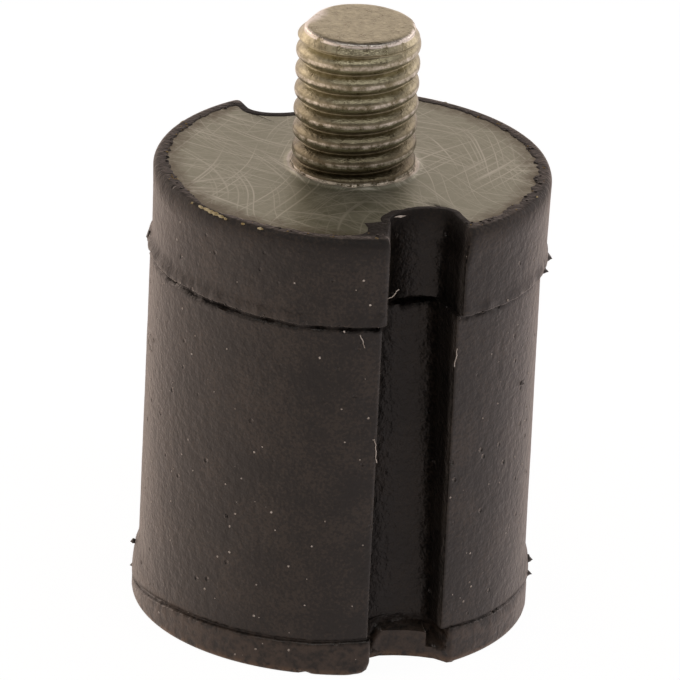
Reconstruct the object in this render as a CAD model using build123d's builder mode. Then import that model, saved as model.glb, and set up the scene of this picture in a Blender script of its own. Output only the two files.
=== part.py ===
from build123d import *
import os
from math import radians, tan

# A bobbin vibration mount: a rubber cylinder bonded to a steel plate at each end.
# A threaded stud stands up from the top plate, and a threaded bush is set in the bottom one.
# Millimetres. +Z runs up through the stud, the origin is the middle of the bottom face, and
# the two grooves that run down the rubber are at -Y and +Y.

# --- Rubber body ---
BODY_HEIGHT = 22.4         # seat face to seat face
WAIST_RADIUS = 9.30        # the long middle stretch, between the two parting lines
CAP_HEIGHT = 4.4           # the end that the upper plate of the mould forms
CAP_STEP = 0.07            # how far the cap stands out at its parting line
CAP_DRAFT = 0.10           # what the cap gains in radius from its parting line to its top
FOOT_HEIGHT = 1.68         # the end that the lower plate of the mould forms
FOOT_STEP = 0.20           # how far the foot stands out at its parting line
RIM_ROUND = 0.35           # rounding of the cap's top edge
FOOT_ROUND = 0.15          # rounding of the foot's bottom edge

# --- Grooves: a U slot down each side, formed by a pin of the mould ---
GROOVE_HALF_WIDTH = 1.88
CAP_GROOVE_DEPTH = 3.2     # from the cap's top edge in to the groove's floor
WAIST_GROOVE_DEPTH = 3.7   # from the waist in to the floor
FOOT_GROOVE_DEPTH = 2.05   # from the foot in to the floor: the groove's shallow end
GROOVE_LINING = 0.38       # rubber between the groove and the edge of a plate's notch

# --- Steel end plates, stamped alike ---
RUBBER_LIP = 0.53          # rubber outside the plates, measured at the waist
PLATE_THICKNESS = 2.0

# --- Threaded stud: metric coarse thread, 6 mm by 1 mm pitch, drawn as a ridge for each turn ---
THREAD_RADIUS = 2.95       # over the crests, as rolled
THREAD_PITCH = 1.0
THREAD_DEPTH = 0.55        # from crest to root
THREAD_ANGLE = 60.0        # included angle between flanks
CREST_WIDTH = 0.2
STUD_REACH = 7.2           # from the top plate to the tip
TIP_RADIUS = 2.65          # plain end ahead of the thread
TIP_LENGTH = 0.5
STUD_HEAD_RADIUS = 4.4
STUD_HEAD_THICKNESS = 1.4
NECK_RELIEF = 0.25         # how far the neck between head and thread lies in from the crests
NECK_RISE = 0.2            # how far the neck stands out of the top plate
STUD_CLEARANCE = 0.10      # radial, between the crests and the top plate

# --- Threaded bush: the same thread, drawn as the cylinder over its crests ---
SPIGOT_RADIUS = 3.9        # the end that passes through the bottom plate
SPIGOT_CLEARANCE = 0.05    # radial, between the spigot and the bottom plate
BARREL_OVERHANG = 0.8      # how far the barrel stands out past the spigot
BARREL_HEIGHT = 7.0        # above the bottom plate
BARREL_END_WALL = 1.0      # solid metal past the point of the drilled hole
TAPPED_RADIUS = 2.5
TAPPED_CHAMFER = 0.55      # at the mouth
DRILL_POINT_ANGLE = 118.0  # included angle at the hole's blind end

# --- Worked out from the sizes above ---
CAP_BASE_RADIUS = WAIST_RADIUS + CAP_STEP
CAP_TOP_RADIUS = CAP_BASE_RADIUS + CAP_DRAFT
FOOT_RADIUS = WAIST_RADIUS + FOOT_STEP
CAP_BASE = BODY_HEIGHT - CAP_HEIGHT
PLATE_RADIUS = WAIST_RADIUS - RUBBER_LIP
CAP_GROOVE_FLOOR = CAP_TOP_RADIUS - CAP_GROOVE_DEPTH
WAIST_GROOVE_FLOOR = WAIST_RADIUS - WAIST_GROOVE_DEPTH
FOOT_GROOVE_FLOOR = FOOT_RADIUS - FOOT_GROOVE_DEPTH
NOTCH_FLOOR = CAP_GROOVE_FLOOR - GROOVE_LINING
NOTCH_HALF_WIDTH = GROOVE_HALF_WIDTH + GROOVE_LINING
TOP_PLATE_BASE = BODY_HEIGHT - PLATE_THICKNESS
STUD_HEAD_BASE = TOP_PLATE_BASE - STUD_HEAD_THICKNESS
STUD_TIP = BODY_HEIGHT + STUD_REACH
PLAIN_END_BASE = STUD_TIP - TIP_LENGTH
THREAD_TOP = PLAIN_END_BASE - (THREAD_RADIUS - TIP_RADIUS)
THREAD_BASE = BODY_HEIGHT + NECK_RISE
NECK_RADIUS = THREAD_RADIUS - NECK_RELIEF
ROOT_RADIUS = THREAD_RADIUS - THREAD_DEPTH
FLANK_RISE = THREAD_DEPTH * tan(radians(THREAD_ANGLE / 2))
VALLEYS = int((THREAD_TOP - THREAD_BASE - CREST_WIDTH) / THREAD_PITCH + 0.01)
STUD_HOLE_RADIUS = THREAD_RADIUS + STUD_CLEARANCE
SPIGOT_HOLE_RADIUS = SPIGOT_RADIUS + SPIGOT_CLEARANCE
BARREL_RADIUS = SPIGOT_RADIUS + BARREL_OVERHANG
BARREL_TOP = PLATE_THICKNESS + BARREL_HEIGHT
DRILL_POINT = BARREL_TOP - BARREL_END_WALL
TAPPED_DEPTH = DRILL_POINT - TAPPED_RADIUS / tan(radians(DRILL_POINT_ANGLE / 2))
MOUTH_RADIUS = TAPPED_RADIUS + TAPPED_CHAMFER
OVERRUN = 1.0              # how far a cutting shape runs past the face that it opens


def groove_slots(half_width, floor):
    """Two opposite U slots, at -Y and +Y, whose floors stand floor from the axis."""
    reach = floor + half_width + CAP_TOP_RADIUS
    with BuildSketch() as slots:
        for side in (-1, 1):
            SlotCenterPoint((0, side * reach / 2), (0, side * (floor + half_width)), 2 * half_width)
    return slots.sketch


def plate_outline():
    """A steel end plate: a disc with a notch where each groove passes."""
    with BuildSketch() as outline:
        Circle(PLATE_RADIUS)
        add(groove_slots(NOTCH_HALF_WIDTH, NOTCH_FLOOR), mode=Mode.SUBTRACT)
    return outline.sketch


def thread_outline():
    """The thread's outline from its lowest crest to its highest, with a valley below each later crest."""
    points = [(THREAD_RADIUS, THREAD_BASE)]
    for turns_below_top in range(VALLEYS - 1, -1, -1):
        crest = THREAD_TOP - CREST_WIDTH - turns_below_top * THREAD_PITCH
        last_crest = crest - THREAD_PITCH + CREST_WIDTH
        points += [
            (THREAD_RADIUS, last_crest),
            (ROOT_RADIUS, last_crest + FLANK_RISE),
            (ROOT_RADIUS, crest - FLANK_RISE),
            (THREAD_RADIUS, crest),
        ]
    return points + [(THREAD_RADIUS, THREAD_TOP)]


# --- Rubber body: one moulding, with a pocket for each of the metal pieces ---
with BuildPart() as rubber_body:
    with BuildSketch(Plane.XZ):
        with BuildLine():
            Polyline(
                (0, 0),
                (FOOT_RADIUS, 0),
                (FOOT_RADIUS, FOOT_HEIGHT),
                (WAIST_RADIUS, FOOT_HEIGHT),
                (WAIST_RADIUS, CAP_BASE),
                (CAP_BASE_RADIUS, CAP_BASE),
                (CAP_TOP_RADIUS, BODY_HEIGHT),
                (0, BODY_HEIGHT),
                close=True,
            )
        make_face()
    revolve(axis=Axis.Z)
    fillet(rubber_body.edges().filter_by(GeomType.CIRCLE).sort_by(Axis.Z)[-1], RIM_ROUND)
    fillet(rubber_body.edges().filter_by(GeomType.CIRCLE).sort_by(Axis.Z)[0], FOOT_ROUND)

    with BuildSketch(Plane.XY.offset(-OVERRUN)):
        add(groove_slots(GROOVE_HALF_WIDTH, FOOT_GROOVE_FLOOR))
    extrude(amount=OVERRUN + FOOT_HEIGHT, mode=Mode.SUBTRACT)
    with BuildSketch(Plane.XY.offset(FOOT_HEIGHT)):
        add(groove_slots(GROOVE_HALF_WIDTH, WAIST_GROOVE_FLOOR))
    extrude(amount=CAP_BASE - FOOT_HEIGHT, mode=Mode.SUBTRACT)
    with BuildSketch(Plane.XY.offset(CAP_BASE)):
        add(groove_slots(GROOVE_HALF_WIDTH, CAP_GROOVE_FLOOR))
    extrude(amount=CAP_HEIGHT + OVERRUN, mode=Mode.SUBTRACT)

    with BuildSketch(Plane.XY.offset(TOP_PLATE_BASE)):
        add(plate_outline())
    extrude(amount=PLATE_THICKNESS + OVERRUN, mode=Mode.SUBTRACT)
    with BuildSketch(Plane.XY.offset(STUD_HEAD_BASE)):
        Circle(STUD_HEAD_RADIUS)
    extrude(amount=STUD_HEAD_THICKNESS, mode=Mode.SUBTRACT)
    with BuildSketch(Plane.XY.offset(-OVERRUN)):
        add(plate_outline())
    extrude(amount=OVERRUN + PLATE_THICKNESS, mode=Mode.SUBTRACT)
    with BuildSketch(Plane.XY.offset(PLATE_THICKNESS)):
        Circle(BARREL_RADIUS)
    extrude(amount=BARREL_HEIGHT, mode=Mode.SUBTRACT)

# --- Top plate: flush with the rubber's top, with a hole for the stud ---
with BuildPart() as top_plate:
    with BuildSketch(Plane.XY.offset(TOP_PLATE_BASE)):
        add(plate_outline())
        Circle(STUD_HOLE_RADIUS, mode=Mode.SUBTRACT)
    extrude(amount=PLATE_THICKNESS)

# --- Threaded stud: its head bears under the top plate, and the rubber holds it there ---
with BuildPart() as threaded_stud:
    with BuildSketch(Plane.XZ):
        with BuildLine():
            Polyline(
                (0, STUD_HEAD_BASE),
                (STUD_HEAD_RADIUS, STUD_HEAD_BASE),
                (STUD_HEAD_RADIUS, TOP_PLATE_BASE),
                (NECK_RADIUS, TOP_PLATE_BASE),
                (NECK_RADIUS, THREAD_BASE),
                *thread_outline(),
                (TIP_RADIUS, PLAIN_END_BASE),
                (TIP_RADIUS, STUD_TIP),
                (0, STUD_TIP),
                close=True,
            )
        make_face()
    revolve(axis=Axis.Z)

# --- Bottom plate: flush with the rubber's underside, with a hole for the bush ---
with BuildPart() as bottom_plate:
    with BuildSketch():
        add(plate_outline())
        Circle(SPIGOT_HOLE_RADIUS, mode=Mode.SUBTRACT)
    extrude(amount=PLATE_THICKNESS)

# --- Threaded bush: a blind tapped hole, open at the middle of the bottom face ---
with BuildPart() as threaded_bush:
    with BuildSketch(Plane.XZ):
        with BuildLine():
            Polyline(
                (MOUTH_RADIUS, 0),
                (SPIGOT_RADIUS, 0),
                (SPIGOT_RADIUS, PLATE_THICKNESS),
                (BARREL_RADIUS, PLATE_THICKNESS),
                (BARREL_RADIUS, BARREL_TOP),
                (0, BARREL_TOP),
                (0, DRILL_POINT),
                (TAPPED_RADIUS, TAPPED_DEPTH),
                (TAPPED_RADIUS, TAPPED_CHAMFER),
                close=True,
            )
        make_face()
    revolve(axis=Axis.Z)

os.makedirs("parts", exist_ok=True)
rubber_body.part.label = "rubber_body"
export_step(rubber_body.part, "parts/rubber_body.step")
top_plate.part.label = "top_plate"
export_step(top_plate.part, "parts/top_plate.step")
threaded_stud.part.label = "threaded_stud"
export_step(threaded_stud.part, "parts/threaded_stud.step")
bottom_plate.part.label = "bottom_plate"
export_step(bottom_plate.part, "parts/bottom_plate.step")
threaded_bush.part.label = "threaded_bush"
export_step(threaded_bush.part, "parts/threaded_bush.step")
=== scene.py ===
"""A bobbin vibration mount: a moulded rubber cylinder bonded to two stamped steel plates.

A rolled stud stands on the upper plate and a tapped bush sits in the lower one.
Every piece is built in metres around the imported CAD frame; lengths below are in millimetres.
"""

import logging
import math
from collections.abc import Sequence
from dataclasses import asdict, astuple, dataclass, replace
from enum import Enum

import bmesh
import bpy
import numpy as np
from bpy.types import Material, Mesh, NodeSocket, NodeTree, Object
from mathutils import Matrix, Vector, noise


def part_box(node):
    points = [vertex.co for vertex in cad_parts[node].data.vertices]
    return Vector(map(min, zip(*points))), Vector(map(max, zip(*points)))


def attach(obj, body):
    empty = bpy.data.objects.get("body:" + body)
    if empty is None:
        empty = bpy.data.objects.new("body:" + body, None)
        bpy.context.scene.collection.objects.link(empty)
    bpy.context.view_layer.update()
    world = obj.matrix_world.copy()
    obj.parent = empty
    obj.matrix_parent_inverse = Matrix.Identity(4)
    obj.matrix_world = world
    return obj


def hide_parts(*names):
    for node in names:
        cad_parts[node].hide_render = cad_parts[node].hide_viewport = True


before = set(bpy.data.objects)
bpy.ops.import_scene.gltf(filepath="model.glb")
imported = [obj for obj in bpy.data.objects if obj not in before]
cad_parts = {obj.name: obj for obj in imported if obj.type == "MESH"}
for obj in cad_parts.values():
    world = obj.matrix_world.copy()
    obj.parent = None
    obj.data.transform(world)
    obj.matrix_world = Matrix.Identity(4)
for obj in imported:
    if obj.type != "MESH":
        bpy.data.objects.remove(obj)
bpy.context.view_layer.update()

MM = 0.001
BODY = "root"
log = logging.getLogger("bobbin_mount")

# The radius that stands for the axis in a turned profile, whose ring there merges into one point.
AXIS = 1e-5
# The colour sockets of a Mix node, which share their names with its other sockets.
MIX_UNDER, MIX_OVER, MIX_RESULT = 6, 7, 2
# A line through points in rising order, and rows of three that swells and tears add up.
Line = Sequence[tuple[float, float]]
Triples = Sequence[tuple[float, float, float]]


class Node(Enum):
    """The CAD nodes that the pieces are built around."""

    RUBBER = "rubber_body"
    TOP_PLATE = "top_plate"
    STUD = "threaded_stud"
    BOTTOM_PLATE = "bottom_plate"
    BUSH = "threaded_bush"


class Slot(Enum):
    """Names of material slots; nothing in this script uses them."""

    RUBBER = "rubber"
    PLATE = "plate_steel"
    STUD = "stud_steel"


class ThreadSide(Enum):
    """Which side of the thread's surface is metal."""

    ROD = 1.0
    BORE = -1.0


def low(node: Node) -> float:
    """Lowest height of a CAD node, in millimetres."""
    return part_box(node.value)[0].z / MM


def high(node: Node) -> float:
    """Highest height of a CAD node, in millimetres."""
    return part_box(node.value)[1].z / MM


# ---------------------------------------------------------------- node helpers


def linear(hex_colour: str) -> tuple[float, float, float, float]:
    """Turns an sRGB hex colour into the linear colour that a shader takes.

    Args:
        hex_colour: Six hex digits, with or without a leading hash.

    Returns:
        Red, green, blue and alpha, from 0 to 1.
    """
    digits = hex_colour.lstrip("#")
    channels = [int(digits[i:i + 2], 16) / 255 for i in (0, 2, 4)]
    red, green, blue = (c / 12.92 if c <= 0.04045 else ((c + 0.055) / 1.055) ** 2.4 for c in channels)
    return red, green, blue, 1.0


def per_metre(millimetres: float) -> float:
    """Scale of a pattern whose features are this many millimetres apart."""
    return 1.0 / (millimetres * MM)


def add_node(tree: NodeTree, kind: str, inputs: dict | None = None,
             **settings: object) -> bpy.types.Node:
    """Adds one node to a tree with its settings, values and links.

    Args:
        tree: The shader or geometry tree.
        kind: The node's type name.
        inputs: Input socket by name or number, with a value or an output socket to link.
        **settings: Properties set on the node before its inputs.

    Returns:
        The new node.
    """
    node = tree.nodes.new(kind)
    for name, value in settings.items():
        setattr(node, name, value)
    for key, value in (inputs or {}).items():
        if isinstance(value, NodeSocket):
            tree.links.new(value, node.inputs[key])
        else:
            node.inputs[key].default_value = value
    return node


def set_stops(ramp: bpy.types.ColorRamp, stops: Sequence[tuple[float, str]]) -> None:
    """Gives a colour ramp its stops.

    Args:
        ramp: The ramp of a Color Ramp node.
        stops: Position and sRGB hex colour of each stop, in rising order.
    """
    while len(ramp.elements) < len(stops):
        ramp.elements.new(1.0)
    for element, (position, colour) in zip(ramp.elements, stops):
        element.position = position
        element.color = linear(colour)


def set_curve(node: bpy.types.Node, points: Line) -> None:
    """Gives a Float Curve node its line.

    Args:
        node: The node.
        points: Input and output of each point, in rising order.
    """
    line = node.mapping.curves[0]
    line.points[0].location = points[0]
    line.points[1].location = points[-1]
    for point in points[1:-1]:
        line.points.new(*point)
    node.mapping.update()

def new_material(name: str) -> tuple[Material, bpy.types.Node, NodeSocket]:
    """Starts a piece's material.

    Args:
        name: The material's name.

    Returns:
        The material, its shader and the socket that gives each point's place on the piece.
    """
    material = bpy.data.materials.new(name)
    material.use_nodes = True
    place = add_node(material.node_tree, "ShaderNodeTexCoord").outputs["Object"]
    return material, material.node_tree.nodes["Principled BSDF"], place


def new_tree(name: str, inputs: dict[str, Sequence[str]]) -> NodeTree:
    """Starts a Geometry Nodes tree that puts out one geometry.

    Args:
        name: The tree's name.
        inputs: Names of its inputs, by their kind of socket.

    Returns:
        The tree.
    """
    tree = bpy.data.node_groups.new(name, "GeometryNodeTree")
    for kind, names in inputs.items():
        for socket in names:
            tree.interface.new_socket(socket, in_out="INPUT", socket_type="NodeSocket" + kind)
    tree.interface.new_socket("Geometry", in_out="OUTPUT", socket_type="NodeSocketGeometry")
    return tree


def put_out(tree: NodeTree, made: NodeSocket, finish: NodeSocket) -> None:
    """Makes a tree's geometry real, gives it its material and puts it out.

    Args:
        tree: The Geometry Nodes tree.
        made: The geometry that it has made.
        finish: The material to give it.
    """
    real = add_node(tree, "GeometryNodeRealizeInstances", {"Geometry": made})
    dressed = add_node(tree, "GeometryNodeSetMaterial", {
        "Geometry": real.outputs["Geometry"], "Material": finish})
    add_node(tree, "NodeGroupOutput", {"Geometry": dressed.outputs["Geometry"]})

# ---------------------------------------------------------------- mesh helpers


def ring_shell(name: str, rings: Sequence[np.ndarray], closed_ends: bool = True) -> Mesh:
    """Joins equal rings of points into one closed skin.

    Args:
        name: The mesh's name.
        rings: Rings of the same number of points in millimetres, anticlockwise seen from above.
        closed_ends: Whether the first and last rings are closed with a fan to their middle.

    Returns:
        The mesh, in metres.
    """
    count = len(rings[0])
    points = np.concatenate(rings)
    faces: list[tuple[int, ...]] = []
    for level in range(len(rings) - 1):
        a, b = level * count, (level + 1) * count
        for i in range(count):
            j = (i + 1) % count
            faces.append((a + i, a + j, b + j, b + i))
    if closed_ends:
        points = np.vstack([points, rings[0].mean(axis=0), rings[-1].mean(axis=0)])
        bottom, top = len(points) - 2, len(points) - 1
        last = (len(rings) - 1) * count
        for i in range(count):
            j = (i + 1) % count
            faces.append((bottom, j, i))
            faces.append((top, last + i, last + j))
    mesh = bpy.data.meshes.new(name)
    mesh.from_pydata((points * MM).tolist(), [], faces)
    mesh.validate()
    return mesh


def lathe_rings(profile: Line, count: int) -> list[np.ndarray]:
    """Rings of a turned shape.

    Args:
        profile: Radius and height of each ring, in millimetres.
        count: Points in a ring.

    Returns:
        One array of points for each ring.
    """
    turn = np.arange(count) / count * 2 * math.pi
    return [np.column_stack([r * np.cos(turn), r * np.sin(turn), np.full(count, z)]) for r, z in profile]


def finish_mesh(mesh: Mesh, sharp_degrees: float) -> None:
    """Merges doubles, shades the mesh smooth and keeps its hard edges.

    Args:
        mesh: The mesh to finish.
        sharp_degrees: Edges that turn further than this stay hard.
    """
    work = bmesh.new()
    work.from_mesh(mesh)
    bmesh.ops.remove_doubles(work, verts=work.verts, dist=1e-7)
    for face in work.faces:
        face.smooth = True
    limit = math.radians(sharp_degrees)
    for edge in work.edges:
        edge.smooth = edge.calc_face_angle(0.0) < limit
    work.to_mesh(mesh)
    work.free()


def keep_mesh(work: bmesh.types.BMesh, name: str) -> Mesh:
    """Turns a worked mesh into a plain one and frees it.

    Args:
        work: The worked mesh.
        name: The plain mesh's name.

    Returns:
        The plain mesh.
    """
    mesh = bpy.data.meshes.new(name)
    work.to_mesh(mesh)
    work.free()
    return mesh


def read_points(mesh: Mesh) -> np.ndarray:
    """Reads where the points of a mesh are.

    Args:
        mesh: The mesh.

    Returns:
        A row of x, y and z for each point, in metres.
    """
    places = np.empty(len(mesh.vertices) * 3)
    mesh.vertices.foreach_get("co", places)
    return places.reshape(-1, 3)
def new_piece(name: str, mesh: Mesh, material: Material) -> Object:
    """Puts a mesh into the scene as a piece at the origin.

    Args:
        name: The piece's name.
        mesh: Its mesh, already in place.
        material: Its only material.

    Returns:
        The new object.
    """
    piece = bpy.data.objects.new(name, mesh)
    bpy.context.scene.collection.objects.link(piece)
    piece.data.materials.clear()
    piece.data.materials.append(material)
    return piece


def ragged(angles: np.ndarray, radius: float, grain: float, seed: float) -> np.ndarray:
    """Random unevenness round a circle that closes on itself.

    Args:
        angles: Angles round the axis, in radians.
        radius: Radius of the circle, in millimetres.
        grain: Length of one bump along the circle, in millimetres.
        seed: Picks another random pattern.

    Returns:
        Values of about -1 to 1, one for each angle.
    """
    reach = radius / grain
    values = [noise.noise(Vector((reach * math.cos(a), reach * math.sin(a), seed))) for a in angles]
    return np.array(values) * 1.6


def bump(angles: np.ndarray, middle: float, width: float) -> np.ndarray:
    """A smooth swelling round the axis.

    Args:
        angles: Angles round the axis, in radians.
        middle: Where it is highest, in degrees.
        width: How far it reaches either way, in degrees.

    Returns:
        Values of 0 to 1.
    """
    away = (np.degrees(angles) - middle + 180.0) % 360.0 - 180.0
    return np.exp(-((away / width) ** 2))


def smooth_step(values: np.ndarray, start: float, end: float) -> np.ndarray:
    """Rises smoothly from 0 at start to 1 at end."""
    t = np.clip((values - start) / (end - start), 0.0, 1.0)
    return t * t * (3.0 - 2.0 * t)

def swells(turn: np.ndarray, rows: Triples) -> np.ndarray:
    """Sum of swellings round the axis, each with its height, its middle and its reach in degrees."""
    return sum(height * bump(turn, middle, reach) for height, middle, reach in rows)


def tears(turn: np.ndarray, radius: float, rows: Triples) -> np.ndarray:
    """Sum of random unevenness round a circle, each with its height, its grain and its seed."""
    return sum(height * ragged(turn, radius, grain, seed) for height, grain, seed in rows)


def along(values: float | np.ndarray, line: Line) -> np.ndarray:
    """Where a line is at each value."""
    return np.interp(values, *np.array(line).T)

# ---------------------------------------------------------------- outlines


@dataclass(frozen=True)
class Groove:
    """One groove at one height, seen from outside, in millimetres.

    Left and right are where its walls stand, floor how far the middle of its hollow floor is from
    the axis, and the lips the length of the rounding where each wall meets the outside. Lean is
    how far the left wall comes in on its way down to the floor.
    """

    left: float
    right: float
    floor: float
    left_lip: float
    right_lip: float
    lean: float = 0.0

    def grown(self, by: float) -> "Groove":
        """The same groove with a lining of that thickness cut away round it."""
        return replace(self, left=self.left - by, right=self.right + by, floor=self.floor - by)

    def toward(self, other: "Groove", share: float) -> "Groove":
        """A groove that share of the way from this one to the other."""
        mine, theirs = np.array(astuple(self)), np.array(astuple(other))
        return Groove(*(mine + (theirs - mine) * share).tolist())


class Outline:
    """The closed line round the body at one height: two grooves and the two arcs between them.

    Lip, wall, floor and arc are how many points a stretch gets, and hollow is how deep a floor is
    hollowed out for its half width. The reaches are how far round a plain circle the points of a
    groove's floor and walls spread, in degrees from the groove's middle.
    """

    LIP = 6
    WALL = 9
    FLOOR = 41
    ARC = 160
    HOLLOW = 0.6
    FLOOR_REACH = 14.0
    WALL_REACH = 34.0
    GROOVE = 2 * (LIP + WALL) + FLOOR

    @classmethod
    def groove_path(cls, groove: Groove, radius: float, centre: Sequence[float]) -> np.ndarray:
        """The line across one groove, from its left lip to its right one.

        Args:
            groove: The groove's sizes.
            radius: Radius of the outside.
            centre: Middle of the outside, across and outward, in the groove's own directions.

        Returns:
            Distance across and distance from the axis of each point.
        """
        half = (groove.right - groove.left - groove.lean) / 2
        middle = (groove.right + groove.left + groove.lean) / 2
        bottom = groove.floor + half * cls.HOLLOW
        halves = []
        for side, wall, lip in ((-1, groove.left, groove.left_lip), (1, groove.right, groove.right_lip)):
            corner = np.array([wall, centre[1] + math.sqrt(radius**2 - (wall - centre[0]) ** 2)])
            turn = math.atan2(corner[0] - centre[0], corner[1] - centre[1]) + side * lip / radius
            outside = np.array([centre[0] + radius * math.sin(turn), centre[1] + radius * math.cos(turn)])
            inside = np.array([wall, corner[1] - lip])
            t = np.linspace(0.0, 1.0, cls.LIP)[:, None]
            curve = (1 - t) ** 2 * outside + 2 * t * (1 - t) * corner + t**2 * inside
            share = np.linspace(0.0, 1.0, cls.WALL + 1)[1:]
            lean = groove.lean if side < 0 else 0.0
            face = np.column_stack([wall + lean * share, inside[1] + (bottom - inside[1]) * share])
            halves.append(np.vstack([curve, face]))
        swing = np.linspace(-math.pi / 2, math.pi / 2, cls.FLOOR + 2)[1:-1]
        across = middle + half * np.sin(swing)
        floor = np.column_stack([across, groove.floor + half * cls.HOLLOW * (1 - np.cos(swing))])
        return np.vstack([halves[0], floor, halves[1][::-1]])

    @classmethod
    def ring(cls, radius: float, front: Groove, back: Groove,
             centre: Sequence[float] = (0.0, 0.0)) -> np.ndarray:
        """The whole outline, anticlockwise from the front groove's left lip.

        Args:
            radius: Radius of the outside.
            front: The groove at -Y.
            back: The groove at +Y.
            centre: Middle of the outside in x and y.

        Returns:
            The points in x and y.
        """
        near = cls.groove_path(front, radius, (centre[0], -centre[1]))
        far = cls.groove_path(back, radius, (-centre[0], centre[1]))
        near = near * np.array([1.0, -1.0])
        far = far * np.array([-1.0, 1.0])
        arcs = []
        for start, end in ((near[-1], far[0]), (far[-1], near[0])):
            a = math.atan2(start[1] - centre[1], start[0] - centre[0])
            b = math.atan2(end[1] - centre[1], end[0] - centre[0])
            b += 2 * math.pi if b < a else 0.0
            turn = np.linspace(a, b, cls.ARC + 2)[1:-1]
            arcs.append(np.array(centre) + radius * np.column_stack([np.cos(turn), np.sin(turn)]))
        return np.vstack([near, arcs[0], far, arcs[1]])

    @classmethod
    def circle(cls, radius: float) -> np.ndarray:
        """A circle whose points pair off with those of a ring, without crossing its grooves.

        Args:
            radius: The circle's radius.

        Returns:
            The points in x and y.
        """
        half = np.concatenate([
            np.linspace(0.0, cls.FLOOR_REACH, cls.FLOOR // 2 + 1),
            np.linspace(cls.FLOOR_REACH, cls.WALL_REACH, cls.WALL + cls.LIP + 1)[1:],
        ])
        arc = np.linspace(half[-1], 180.0 - half[-1], cls.ARC + 2)[1:-1]
        across = np.concatenate([-half[:0:-1], half])
        turn = np.radians(np.concatenate([across - 90.0, arc - 90.0, across + 90.0, arc + 90.0]))
        return np.column_stack([radius * np.cos(turn), radius * np.sin(turn)])

    @classmethod
    def in_groove(cls) -> tuple[slice, slice]:
        """Where the front and the back groove's points are in a ring."""
        return slice(0, cls.GROOVE), slice(cls.GROOVE + cls.ARC, 2 * cls.GROOVE + cls.ARC)


def at_height(ring: np.ndarray, height: float | np.ndarray) -> np.ndarray:
    """Gives a ring of x and y its height or heights."""
    return np.column_stack([ring, np.broadcast_to(height, len(ring))])


# ---------------------------------------------------------------- finishes


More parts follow.
